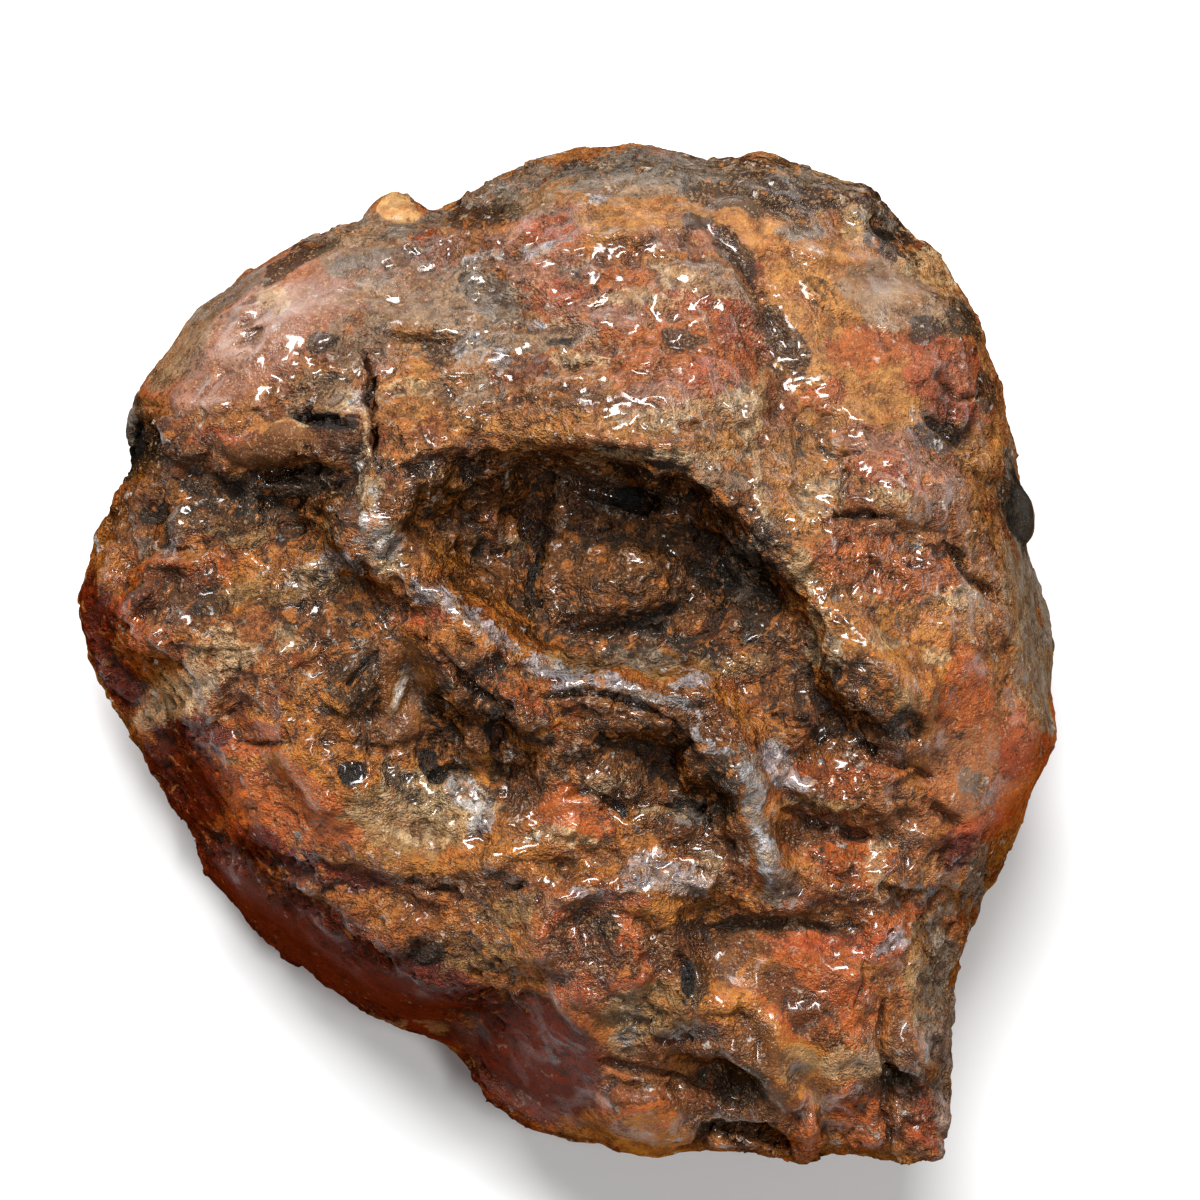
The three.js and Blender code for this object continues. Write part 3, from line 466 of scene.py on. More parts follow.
# Where the stone is stained in each colour, as ovals on the sheet. Some charcoal-grey and black ovals are
# painted shade in slots, pits and grooves, some pale bluish-white ones are painted highlights, and a pale
# veil on the north-west plateau is a painted sheen.
STAINS_AND_PAINTED_LIGHT = {
    "ochre": [
        (400, 690, 26, 44, -12), (255, 775, 70, 34, 10), (880, 620, 50, 70), (330, 740, 60, 40),
        (405, 690, 30, 56, -10), (240, 760, 70, 30), (440, 860, 90, 20), (880, 660, 40, 60),
        (640, 210, 110, 40), (745, 220, 50, 36), (810, 300, 50, 70), (860, 390, 70, 50), (985, 455, 22, 16),
        (440, 360, 60, 40), (430, 400, 60, 26), (270, 440, 44, 20), (560, 430, 120, 14), (700, 450, 50, 14),
        (800, 480, 40, 50), (860, 600, 80, 60), (900, 640, 60, 60), (610, 575, 70, 50), (620, 612, 50, 12),
        (690, 610, 22, 14), (450, 500, 50, 30), (660, 540, 30, 30), (650, 720, 60, 20), (590, 745, 30, 30),
        (450, 550, 50, 24), (250, 590, 50, 26), (300, 760, 110, 50), (420, 770, 90, 60), (350, 700, 60, 40),
        (610, 790, 60, 34), (540, 850, 90, 26), (730, 980, 40, 26, 20), (790, 1080, 34, 80, -18),
        (650, 1120, 48, 28), (850, 1060, 50, 30), (880, 870, 20, 34), (500, 960, 60, 40),
        (680, 900, 50, 24), (730, 1010, 60, 18, 20), (180, 480, 50, 20), (410, 210, 14, 10),
        (440, 520, 30, 14), (560, 740, 60, 30),
    ],
    "orange": [
        (550, 235, 40, 34), (610, 320, 60, 50), (640, 375, 26, 26), (700, 340, 70, 60), (880, 345, 60, 20),
        (820, 390, 24, 14), (860, 560, 50, 26), (900, 580, 60, 24), (960, 690, 30, 40), (990, 790, 60, 50),
        (570, 812, 40, 26), (260, 800, 80, 40), (350, 820, 60, 24), (490, 490, 9, 22), (486, 528, 9, 20),
        (240, 735, 50, 20), (820, 1010, 60, 34), (860, 850, 60, 30), (640, 1110, 40, 18),
        (800, 1130, 24, 40), (860, 1115, 30, 34), (490, 1090, 14, 40, 20), (170, 570, 60, 16),
        (140, 620, 40, 30), (820, 960, 50, 20), (660, 650, 24, 8), (520, 705, 40, 12, 30),
        (840, 770, 60, 14), (900, 930, 40, 20), (715, 1100, 20, 14), (500, 740, 10, 22), (130, 660, 24, 16),
        (180, 470, 30, 8),
    ],
    "red": [
        (950, 375, 40, 34), (960, 412, 30, 12), (175, 392, 30, 10), (660, 155, 60, 7), (755, 156, 18, 6),
        (550, 225, 30, 22), (740, 330, 30, 26), (700, 300, 50, 16), (900, 470, 50, 24), (600, 895, 60, 9),
        (590, 950, 60, 50), (640, 965, 24, 10), (1020, 740, 40, 30), (980, 830, 40, 20, -40),
        (820, 945, 50, 14), (260, 850, 60, 14, 20), (360, 256, 50, 8), (230, 432, 40, 8),
        (560, 290, 40, 20), (930, 1120, 30, 30), (700, 385, 40, 22), (870, 950, 30, 20), (430, 230, 12, 10),
        (120, 600, 30, 14), (420, 620, 30, 10),
    ],
    "salmon": [
        (190, 380, 40, 20), (400, 262, 70, 22, -12), (330, 330, 50, 30, -20), (250, 330, 110, 62, -35),
        (300, 275, 90, 26, -15), (200, 360, 40, 50, 20), (620, 310, 60, 20), (880, 440, 60, 16, 10),
        (960, 770, 40, 50), (370, 350, 30, 30), (350, 440, 12, 30), (930, 1010, 40, 40), (170, 620, 24, 16),
        (250, 640, 40, 24), (690, 240, 60, 14), (560, 260, 60, 20), (930, 470, 40, 20, 40),
        (660, 400, 50, 16), (640, 1060, 40, 24), (900, 820, 40, 30), (210, 690, 60, 12, -12),
        (560, 900, 24, 8),
    ],
    "maroon": [
        (360, 1000, 190, 60, 40), (230, 900, 120, 46, 50), (170, 790, 60, 60, 50), (350, 880, 50, 9, 5),
        (290, 860, 60, 16, 30), (540, 1060, 70, 60, 40), (190, 730, 40, 20), (110, 680, 24, 40, -30),
        (330, 930, 60, 20, 35), (450, 990, 80, 20, 30), (960, 850, 30, 14, -50), (90, 620, 26, 40),
    ],
    "taupe": [
        (350, 345, 20, 30), (440, 300, 90, 30, 5), (370, 235, 50, 20, -20), (380, 330, 14, 34),
        (490, 330, 60, 20), (470, 390, 40, 20), (590, 170, 80, 16), (520, 200, 40, 18),
        (900, 300, 70, 28, 20), (930, 310, 50, 14, 30), (560, 340, 40, 18), (320, 400, 40, 18),
        (690, 660, 90, 14), (600, 660, 60, 12), (410, 810, 60, 40), (440, 800, 50, 40),
        (1030, 610, 30, 130, -8), (650, 1010, 40, 30), (700, 470, 50, 12, 15), (800, 1060, 16, 12),
        (480, 960, 40, 20), (250, 520, 90, 20), (280, 590, 60, 20), (820, 800, 40, 10), (930, 960, 24, 60),
        (720, 280, 40, 16, 30), (180, 345, 26, 50, 30), (370, 250, 60, 14, -15), (650, 190, 80, 10),
        (740, 420, 14, 40), (470, 320, 60, 12), (910, 700, 24, 12), (400, 1045, 60, 10), (510, 905, 30, 16),
        (640, 470, 40, 8),
    ],
    "brown": [
        (800, 1010, 60, 20, 35), (610, 960, 36, 20), (640, 1100, 40, 14), (560, 960, 20, 30),
        (290, 446, 70, 20), (170, 590, 50, 30), (350, 450, 14, 26, -20), (760, 1060, 20, 60, -25),
        (730, 955, 60, 16), (900, 1060, 14, 60), (700, 1100, 30, 30), (800, 1000, 60, 14, 30),
        (600, 550, 190, 90, 8), (450, 520, 90, 40), (640, 750, 110, 60), (260, 500, 120, 30),
        (820, 680, 80, 50, 30), (420, 700, 80, 50), (310, 620, 40, 20), (700, 830, 50, 30),
        (760, 1100, 50, 50), (700, 950, 60, 30), (520, 790, 24, 30), (560, 480, 160, 24),
        (870, 740, 60, 26), (160, 450, 50, 36), (600, 920, 30, 20), (460, 880, 60, 16), (700, 1040, 50, 20),
        (880, 1080, 24, 20), (440, 950, 50, 14), (480, 720, 50, 30), (150, 520, 60, 20), (560, 400, 60, 10),
        (800, 830, 60, 12), (860, 890, 50, 14), (440, 350, 14, 20),
    ],
    # charcoal-grey mineral, and painted shade in the groove under the north-west block, the notch, slots,
    # pits and the bowl's dark pockets
    "charcoal": [
        (770, 190, 80, 24), (850, 200, 60, 26, 30), (620, 168, 70, 8, -4), (300, 262, 50, 9, -30),
        (720, 160, 50, 20, 6), (775, 160, 66, 30, 8), (850, 182, 50, 26, 28), (905, 222, 36, 20, 45),
        (905, 262, 26, 12, 40), (880, 235, 26, 20), (690, 170, 60, 12), (500, 210, 26, 14),
        (600, 158, 50, 9), (780, 330, 20, 44, -32), (735, 250, 14, 30, -40), (940, 435, 26, 15),
        (968, 326, 24, 16, 30), (990, 388, 12, 22), (1014, 505, 20, 36, -12), (138, 430, 14, 44),
        (152, 445, 16, 22), (270, 474, 90, 8, 2), (325, 424, 34, 7, 8), (360, 462, 12, 22, -25),
        (290, 482, 90, 12), (640, 500, 40, 14), (650, 630, 30, 16), (350, 668, 26, 34, 10),
        (262, 487, 92, 11, 3), (357, 770, 12, 10), (438, 758, 12, 22), (492, 728, 12, 16),
        (425, 955, 22, 10), (537, 580, 8, 60), (580, 372, 16, 9), (480, 290, 12, 8), (470, 215, 20, 10),
        (745, 560, 26, 60, 30), (780, 925, 80, 8), (745, 1085, 30, 24), (720, 780, 16, 40),
        (755, 610, 20, 30), (640, 620, 30, 16), (700, 640, 30, 10), (960, 1120, 10, 50), (900, 1083, 22, 8),
        (690, 985, 12, 24), (605, 925, 14, 22), (670, 345, 16, 14), (905, 725, 24, 18), (150, 512, 20, 12),
        (215, 606, 22, 14), (440, 700, 14, 12), (560, 345, 12, 10), (330, 345, 18, 10), (700, 225, 16, 8),
        (925, 335, 20, 12), (410, 470, 30, 12), (500, 760, 10, 18), (600, 640, 30, 6), (250, 500, 60, 8),
    ],
    "grey": [
        (230, 290, 60, 14, -38), (660, 178, 110, 12, 2), (380, 262, 60, 12, -15), (1035, 600, 22, 140, -8),
        (1050, 690, 16, 50), (942, 1010, 20, 100), (946, 1110, 16, 60), (975, 880, 14, 40, 20),
        (600, 160, 60, 14, -8), (690, 164, 60, 12, 5), (500, 190, 60, 12, -18), (420, 222, 40, 10, -15),
        (820, 180, 60, 10, 15), (895, 215, 14, 20, -30), (132, 430, 9, 40), (967, 780, 12, 14),
        (752, 790, 12, 50, -12), (765, 860, 14, 40, -8), (780, 890, 22, 18), (680, 810, 26, 20),
        (640, 660, 50, 9), (560, 170, 50, 10), (500, 300, 30, 20), (340, 225, 40, 9, -20),
        (740, 560, 14, 40), (560, 672, 30, 9), (140, 545, 10, 12), (800, 225, 18, 10),
        (606, 500, 30, 7, 12), (728, 572, 10, 24),
    ],
    "cream": [
        (186, 690, 54, 20, -28), (228, 655, 34, 26), (430, 800, 40, 34, 20), (850, 225, 15, 20),
        (940, 275, 34, 16, 30), (905, 268, 14, 14), (650, 455, 90, 5), (746, 448, 12, 12),
        (757, 400, 6, 50), (762, 480, 8, 44, -15), (785, 560, 12, 24, -35), (800, 590, 14, 12),
        (225, 645, 26, 20, -20), (165, 705, 40, 11, -18), (372, 500, 12, 26), (380, 540, 26, 20),
        (312, 570, 16, 18), (355, 405, 12, 12), (365, 435, 6, 22), (640, 415, 30, 9), (700, 410, 40, 12),
        (580, 365, 30, 9), (880, 860, 12, 30), (425, 785, 40, 24, 20), (400, 818, 44, 20, 10),
        (850, 1062, 36, 15), (630, 1045, 20, 22), (620, 1010, 16, 14), (470, 800, 28, 22),
        (400, 695, 8, 16), (560, 838, 36, 6), (820, 500, 20, 20), (880, 640, 20, 10), (640, 300, 50, 9),
        (725, 405, 30, 9), (410, 390, 26, 10), (290, 420, 14, 6), (520, 540, 10, 8), (390, 560, 20, 12),
        (820, 640, 20, 30, -30), (660, 808, 30, 10), (600, 780, 26, 8), (700, 862, 14, 12),
        (390, 203, 22, 9), (290, 640, 16, 10), (960, 600, 20, 12), (880, 500, 20, 9), (930, 660, 14, 9),
        (690, 285, 40, 9, 20), (270, 300, 16, 14),
    ],
    "honey": [(395, 204, 32, 13, 5), (935, 290, 20, 10, 30), (850, 232, 14, 12)],
    # the black nub's mineral, and painted shade in pits and slots
    "black": [
        (1020, 513, 18, 28, -6), (884, 238, 14, 8), (143, 436, 8, 20), (326, 421, 30, 7, 8),
        (357, 767, 13, 10, 25), (436, 757, 10, 18), (446, 774, 8, 9), (490, 735, 6, 16, -10),
        (572, 346, 12, 8), (630, 494, 26, 8, 15), (684, 980, 7, 22),
    ],
    # a painted sheen of the water film on the north-west plateau
    "painted_sheen": [(245, 335, 26, 44, 28), (300, 300, 26, 14)],
    # the pale bluish vein, and painted highlights where the water film shines brightest
    "pale_vein_and_highlight": [
        (372, 520, 14, 24), (332, 558, 24, 11), (390, 546, 16, 10), (505, 352, 12, 16),
        (440, 598, 30, 9, 30), (485, 635, 34, 12, 42), (545, 672, 34, 13, 10), (562, 680, 20, 14),
        (470, 795, 24, 18, 60), (480, 822, 14, 10), (650, 698, 50, 8, 10), (716, 736, 24, 8, 35),
        (752, 790, 9, 40, -12), (610, 684, 30, 8), (775, 762, 16, 22), (790, 775, 30, 6, 40),
        (765, 860, 12, 26), (660, 872, 40, 13), (690, 882, 18, 14), (584, 890, 22, 7), (368, 530, 14, 12),
        (392, 540, 12, 6), (402, 690, 7, 16), (445, 592, 20, 6, 30), (362, 404, 12, 10), (690, 680, 20, 6),
        (640, 855, 20, 8), (630, 1040, 10, 14), (885, 950, 24, 6, -30), (463, 788, 20, 12, 55),
        (672, 870, 24, 8, 15), (793, 777, 24, 6, 40), (480, 268, 30, 6, -10), (530, 320, 22, 4),
        (540, 246, 24, 4, -20), (600, 200, 10, 6), (470, 350, 20, 14, 30), (345, 560, 20, 8, 30),
    ],
}


def surface_kinds(clay):
    """How smooth, crusty and grainy each vertex is."""
    smooth = ovals(clay.uneven_sheet, SMOOTH, 0.3) * clay.top
    crust = ovals(clay.uneven_sheet, CRUST, 0.3) * clay.top * (1 - smooth)
    grainy = ovals(clay.uneven_sheet, GRAINY, 0.3) * clay.top * (1 - smooth) * (1 - 0.7 * crust)
    return smooth, crust, grainy


# ---- Modelling ----


def deselect_all():
    bpy.ops.object.select_all(action="DESELECT")


def work_on(piece):
    deselect_all()
    piece.select_set(True)
    bpy.context.view_layer.objects.active = piece


def apply_modifier(piece, kind, **settings):
    modifier = piece.modifiers.new(kind.lower(), kind)
    for name, value in settings.items():
        setattr(modifier, name, value)
    work_on(piece)
    bpy.ops.object.modifier_apply(modifier=modifier.name)


def copy_of_node(name, new_name):
    """A merged copy of a CAD node's mesh, as a piece of its own."""
    piece = bpy.data.objects.new(new_name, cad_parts[name].data.copy())
    bpy.context.scene.collection.objects.link(piece)
    piece.data.materials.clear()
    work_on(piece)
    bpy.ops.object.mode_set(mode="EDIT")
    bpy.ops.mesh.select_all(action="SELECT")
    bpy.ops.mesh.remove_doubles(threshold=1e-6)
    bpy.ops.object.mode_set(mode="OBJECT")
    return piece


def sharpen_lips(piece):
    """Pulls the bowl's and the groove's walls in under their lips."""
    clay = Clay(piece)
    for chain, pull in LIPS:
        chosen = nearby(clay, chain, LIP_REACH)
        distance, side, share = along_chain(clay.sheet[chosen], chain)
        below = (side > 0) * ramp(distance, 0.2, 2.6) * (1 - ramp(distance, 4, LIP_REACH))
        ends = ramp(share, 0, 0.06) * ramp(share, 1, 0.85)
        steep = ramp(clay.out[chosen, 2], 0.98, 0.75)
        unevenness = 1.05 + 0.8 * lumps(clay.at[chosen], size=7, octaves=2, seed=71)
        shift = pull * below * ends * (0.35 + 0.65 * steep) * unevenness
        clay.at[chosen, 1] += shift * 0.8
        clay.at[chosen, 0] += shift * 0.5
    clay.write()


def carve(piece, *jobs):
    """Works the piece with each job's tool, once for each row of its table."""
    clay = Clay(piece)
    for tool, rows in jobs:
        for row in rows:
            tool(clay, *row)
    clay.write()


def rough_out(piece):
    """The broad unevenness of a broken stone: conchoidal scars, chips and lumps."""
    clay = Clay(piece)
    smooth, crust, _ = surface_kinds(clay)
    off_the_ground = ramp(clay.at[:, 2], 0.3, 4)
    calm = ovals(clay.uneven_sheet, CALM, 0.4) * clay.top
    rugged = (1 - 0.85 * smooth) * (1 - 0.3 * crust) * (1 - 0.75 * calm)
    rise = 0.55 * scallops(warp(clay.at, size=9, amount=2.4, seed=40), 12, 11) * rugged
    longer = warp(clay.at, size=6, amount=0.8, seed=44) * np.array([0.75, 1.1, 1.1])
    rise += chips(longer, 7.5, 23) * rugged
    rise += 0.4 * lumps(clay.at, size=8, octaves=2, seed=3)
    rim = 0.45 + 0.55 * ramp(clay.out[:, 2], 0.15, 0.7)
    clay.push(rise * off_the_ground * rim)
    clay.write()


def texture_surface(piece):
    """The small relief: knobbly crust, gritty hollows, stepped layers and nearly smooth faces."""
    clay = Clay(piece)
    smooth, crust, grainy = surface_kinds(clay)
    plain = np.clip(1 - smooth - crust - grainy, 0, 1)
    off_the_ground = ramp(clay.at[:, 2], 0.2, 2)
    bent = warp(clay.at, size=4, amount=0.8, seed=60)
    worms = ramp(1 - 2 * np.abs(noise(bent, 3.2, 45)), 0.5, 0.95)
    wet = ovals(clay.uneven_sheet, WET, 0.5) * clay.top * (1 - smooth)
    knobbly = 0.3 * lumps(bent, 3, 3, 5) - 0.28 * scallops(bent, 2.6, 7) + 0.16 * chips(bent, 2, 31)
    gritty = 0.5 * chips(bent, 3.4, 9) + 0.2 * lumps(bent, 2.4, 3, 13) + 0.36 * chips(bent, 1.8, 15)
    layers = lumps(bent * np.array([0.5, 0.9, 1.5]), size=4.4, octaves=2, seed=17) * 2.4
    stepped = np.floor(layers) + ramp(layers - np.floor(layers), 0.4, 0.6) - layers
    broken = 0.22 * stepped + 0.62 * chips(bent, 3.6, 26)
    broken += 0.12 * lumps(clay.at, 2, 3, 19) + 0.34 * chips(bent, 1.7, 36)
    broken *= 1 - 0.5 * ovals(clay.uneven_sheet, CALM, 0.4) * clay.top
    gritty += 0.75 * chips(warp(clay.at, size=5, amount=1.2, seed=64), 6, 29)
    rise = crust * knobbly + grainy * (gritty + 0.3 * stepped) + plain * broken
    rise += smooth * (0.1 * lumps(bent, 3.2, 3, 25) + 0.08 * scallops(bent, 5, 27))
    rise += worms * (0.4 * np.maximum(crust, wet) + 0.12 * smooth)
    rim = 0.4 + 0.6 * ramp(clay.out[:, 2], 0.1, 0.6)
    clay.push(rise * off_the_ground * rim)
    clay.write()


def lay_films(piece):
    """Levels each film's patch where it mirrors the key light to the eye, with torn edges."""
    clay = Clay(piece)
    for shape in FILMS:
        x, y, along, across, *_ = shape
        chosen = nearby(clay, [(x, y)], 1.5 * max(along, across) / UNITS_PER_MM)
        mask = ovals(clay.uneven_sheet[chosen], [shape], 0.4)
        at = clay.at[chosen]
        middle = at[mask > 0.5].mean(axis=0)
        to_light, to_eye = (Vector(place) - Vector(middle) for place in (Vector(KEY_PLACE) / MM, EYE))
        mirror = to_light.normalized() + to_eye.normalized()
        away = at - middle
        level = middle[2] - (away[:, 0] * mirror.x + away[:, 1] * mirror.y) / mirror.z
        level += 0.02 * noise(at, 2.2, 51)
        whole = ramp(noise(at, 1.6, 53), -0.5, -0.15)
        clay.at[chosen, 2] += 0.95 * mask * whole * np.clip(level - at[:, 2], -2, 2)
    clay.write()


def thin_out(piece):
    """Brings the piece down to its number of triangles, mostly from the back that it lies on."""
    out = Clay(piece).out[:, 2]
    back = piece.vertex_groups.new(name="back")
    back.add(np.nonzero(out < -0.45)[0].tolist(), 1.0, "REPLACE")
    apply_modifier(piece, "DECIMATE", ratio=0.5, vertex_group="back", vertex_group_factor=1.0)
    piece.vertex_groups.clear()
    triangles = sum(len(face.vertices) - 2 for face in piece.data.polygons)
    apply_modifier(piece, "DECIMATE", ratio=min(1, MOST_TRIANGLES / triangles))
    Clay(piece).write()


def add_nub(piece, centre, radii, turn):
    """Joins an egg-shaped lump to the piece; the next remesh fuses the two."""
    deselect_all()
    place = [c * MM for c in centre]
    bpy.ops.mesh.primitive_uv_sphere_add(segments=48, ring_count=24, radius=1, location=place)
    nub = bpy.context.object
    nub.scale = [r * MM for r in radii]
    nub.rotation_euler = (0, 0, math.radians(turn))
    work_on(nub)
    bpy.ops.object.transform_apply(location=True, rotation=True, scale=True)
    work_on(piece)
    nub.select_set(True)
    bpy.ops.object.join()


# ---- What is kept on the vertices for the material ----


def evened(piece, values, rounds):
    """The values of the vertices, each round averaged with their neighbours'."""
    mesh = piece.data
    edges = np.empty(len(mesh.edges) * 2, np.int32)
    mesh.edges.foreach_get("vertices", edges)
    a, b = edges.reshape(-1, 2).T
    count = len(mesh.vertices)
    degree = np.bincount(a, minlength=count) + np.bincount(b, minlength=count)
    values = values.astype(float).copy()
    for _ in range(rounds):
        for k in range(values.shape[1]):
            column = values[:, k]
            values[:, k] = (np.bincount(a, column[b], count) + np.bincount(b, column[a], count)) / degree
    return values


def hollowness(piece, rounds, depth):
    """How deep each vertex lies in its evened surroundings: 1 at that depth in mm, below 0 on a hump."""
    clay = Clay(piece)
    sunk = np.einsum("ij,ij->i", evened(piece, clay.at, rounds) - clay.at, clay.out)
    return np.clip(sunk / depth, -1, 1)


# How readily a stain turns up by itself on the back.
USUAL_BACK_SHARE = 0.9
BACK_SHARES = {
    "charcoal": 0.5, "grey": 0.3, "cream": 0.25, "pale_vein_and_highlight": 0.0, "honey": 0.0, "black": 0.0, "painted_sheen": 0.0,
}
STRAY_ON_WALLS = 5  # how far in mm a stain's edge wanders on the side walls
BLACK_NUB = [(1010, 500, 26, 46, -10)]
# The pits and hollows, which the material darkens as painted shade.
# Over how many rounds the surroundings are evened, and the depth in mm that counts as 1.
SUNK_PLACES = {"pits": (4, 0.16), "hollows": (40, 0.9)}


def set_attribute(piece, name, values):
    attribute = piece.data.attributes.new(name, "FLOAT", "POINT")
    attribute.data.foreach_set("value", values.astype(np.float32))


def strayed_sheet(clay, lie):
    """The uneven sheet, gone astray on the side walls, where stains would run straight down otherwise."""
    steep = (1 - ramp(lie, 0.15, 0.6)) * ramp(clay.at[:, 2], 34, 24)
    stray = [noise(clay.at, 8, 310 + k) + 0.5 * noise(clay.at, 4, 320 + k) for k in range(3)]
    strayed_at = clay.at + STRAY_ON_WALLS * steep[:, None] * np.stack(stray, axis=1)
    return clay.uneven_sheet + sheet_of(strayed_at) - clay.sheet


def lay_stains_and_painted_light(piece, clay, lie):
    """Keeps how much of each stain, painted shade, painted highlight and painted sheen lies on each vertex:
    as laid out where seen, by chance on the back.
    """
    seen = ramp(lie + 0.22 * lumps(clay.at, size=9, octaves=3, seed=301), -0.5, -0.1)
    seen *= ramp(clay.at[:, 2], 2, 9)
    strayed = strayed_sheet(clay, lie)
    for order, (name, shapes) in enumerate(STAINS_AND_PAINTED_LIGHT.items()):
        elsewhere = 0.05 + 0.8 * lumps(clay.at, size=17, octaves=2, seed=200 + 7 * order)
        share = BACK_SHARES.get(name, USUAL_BACK_SHARE)
        mask = seen * ovals(strayed, shapes, 0.45) + (1 - seen) * np.clip(elsewhere, 0, 1) * share
        if name == "black":
            mask *= ramp(clay.at[:, 2], 18.5, 20.5)  # not down the walls below the nub
        set_attribute(piece, name, mask)


def paint(piece):
    """Keeps each vertex's stains and painted light, its kind of surface, and where it is hollow or wet, for
    the material.
    """
    clay = Clay(piece)
    broad = evened(piece, clay.out, 30)
    lie = broad[:, 2] / np.linalg.norm(broad, axis=1)  # how far up each vertex's surroundings face
    lay_stains_and_painted_light(piece, clay, lie)
    smooth, crust, grainy = surface_kinds(clay)
    films = ovals(clay.uneven_sheet, FILMS, 0.4)
    wet = np.maximum(ovals(clay.uneven_sheet, WET, 0.5), 2.5 * films) * clay.top
    nub = 0.3 * ovals(clay.sheet, BLACK_NUB, 0.2) * ramp(clay.out[:, 2], 0.5, 0.9)
    set_attribute(piece, "facing", np.maximum(ramp(lie, 0.42, 0.8), nub))
    # 0 in the north-east, where the cool tint is also a painted sheen, to 1 towards the south-west
    set_attribute(piece, "warm", ramp(clay.sheet[:, 1] - 0.25 * clay.sheet[:, 0], 190, 560))
    for name, mask in (("crust", crust), ("grainy", grainy), ("wet", wet)):
        set_attribute(piece, name, mask)
    calm = 0.6 * ovals(clay.uneven_sheet, CALM, 0.5) * clay.top * (1 - crust) * (1 - grainy)
    set_attribute(piece, "smooth", np.maximum(smooth, calm))
    for name, (rounds, depth) in SUNK_PLACES.items():
        set_attribute(piece, name, hollowness(piece, rounds, depth))


# ---- The stone ----


def build_stone():
    """The wet stone: roughed out of the CAD node's solid, then carved, textured, thinned and painted."""
    piece = copy_of_node(NODE, "wet_stone")
    apply_modifier(piece, "REMESH", mode="VOXEL", voxel_size=ROUGH_VOXEL * MM)
    apply_modifier(piece, "SMOOTH", factor=0.6, iterations=10)
    carve(piece, (press_oval, FILLS))
    sharpen_lips(piece)
    rough_out(piece)
    carve(piece, (press_oval, KNOBS), (break_ledge, LEDGES), (raise_ridge, RIDGES))
    for nub in NUBS:
        add_nub(piece, *nub)
    apply_modifier(piece, "REMESH", mode="VOXEL", voxel_size=FINE_VOXEL * MM)
    apply_modifier(piece, "SMOOTH", factor=0.5, iterations=1)
    texture_surface(piece)
    lay_films(piece)
    carve(piece, (cut_crack, CRACKS))
    thin_out(piece)
    piece.data.shade_smooth()
    paint(piece)
    return piece


# ---- Material ----


def colour(red, green, blue):
    """A colour as the eye reads it, 0 to 255, made linear."""
    def linear(c):
        c /= 255
        return c / 12.92 if c <= 0.04045 else ((c + 0.055) / 1.055) ** 2.4
    return (linear(red), linear(green), linear(blue), 1)


class Wire:
    """A node's output, so that shader maths reads as an expression."""

    def __init__(self, tree, socket):
        self.tree, self.socket = tree, socket

    def node(self, kind, settings, inputs, output=0):
        """Adds a node, sets it, links or fills its inputs, and gives one of its outputs."""
        made = self.tree.nodes.new(kind)
        for name, value in settings.items():
            setattr(made, name, value)
        for key, value in inputs.items():
            if isinstance(value, Wire):
                self.tree.links.new(value.socket, made.inputs[key])
            else:
                made.inputs[key].default_value = value
        return Wire(self.tree, made.outputs[output])

    def other(self, name):
        """Another output of the same node."""
        return Wire(self.tree, self.socket.node.outputs[name])

    def maths(self, operation, *values):
        return self.node("ShaderNodeMath", {"operation": operation}, dict(enumerate(values)))

    def vector(self, operation, *values, output=0):
        return self.node("ShaderNodeVectorMath", {"operation": operation}, dict(enumerate(values)), output)

    def __add__(self, other):
        return self.maths("ADD", self, other)

    def __sub__(self, other):
        return self.maths("SUBTRACT", self, other)

    def __rsub__(self, other):
        return self.maths("SUBTRACT", other, self)

    def __mul__(self, other):
        return self.maths("MULTIPLY", self, other)

    __radd__ = __add__
    __rmul__ = __mul__

    def between(self, low, high):
        """0 below low, 1 above high, smooth between."""
        settings = {"interpolation_type": "SMOOTHSTEP"}
        return self.node("ShaderNodeMapRange", settings, {0: self, 1: low, 2: high, 3: 0.0, 4: 1.0})


# Each stain's colour, 0 to 255, and how far it hides what is under it, in the order of laying on. The
# charcoal-grey also paints shade, the pale bluish white also paints highlights, and one pale veil is a
# painted sheen.
STAIN_AND_PAINTED_LIGHT_COLOURS = {
    "ochre": ((184, 124, 62), 0.85), "orange": ((178, 94, 42), 0.85), "red": ((166, 74, 46), 0.65),
    "salmon": ((160, 108, 84), 0.85), "maroon": ((102, 44, 24), 0.92), "taupe": ((146, 122, 98), 0.75),
    "brown": ((84, 50, 24), 0.75), "charcoal": ((46, 40, 34), 0.8), "grey": ((118, 110, 101), 0.75),
    "cream": ((198, 170, 128), 0.6), "honey": ((190, 146, 94), 0.85),
    "painted_sheen": ((186, 164, 152), 0.28), "pale_vein_and_highlight": ((172, 176, 182), 0.6),
}
FIRST_PALE = "grey"  # it and those after it hold no iron, so the iron's tint lies under them; among them are the painted highlights and the painted sheen
# The pale minerals, with the painted highlights and the painted sheen, that fray most and keep off the
# maroon flank.
PALE = ("cream", "pale_vein_and_highlight", "grey", "painted_sheen")
# How far the veils and the mottle break up a stain that stays nearly whole.
WHOLE = {"honey": (0.6, 0.4), "maroon": (1.4, 0.8), "charcoal": (1.8, 1.0)}
# The iron's tint: warm towards the south-west and its own on the maroon flank; cool in the north-east, where
# its greyer colour is also a painted sheen of the water film.
COOL_TINT_AND_SHEEN, WARM_TINT, MAROON_TINT = (0.88, 0.92, 0.96, 1), (0.97, 0.83, 0.44, 1), (0.92, 0.52, 0.28, 1)
BARE_RED, BARE_TAN = (128, 66, 34), (164, 106, 56)
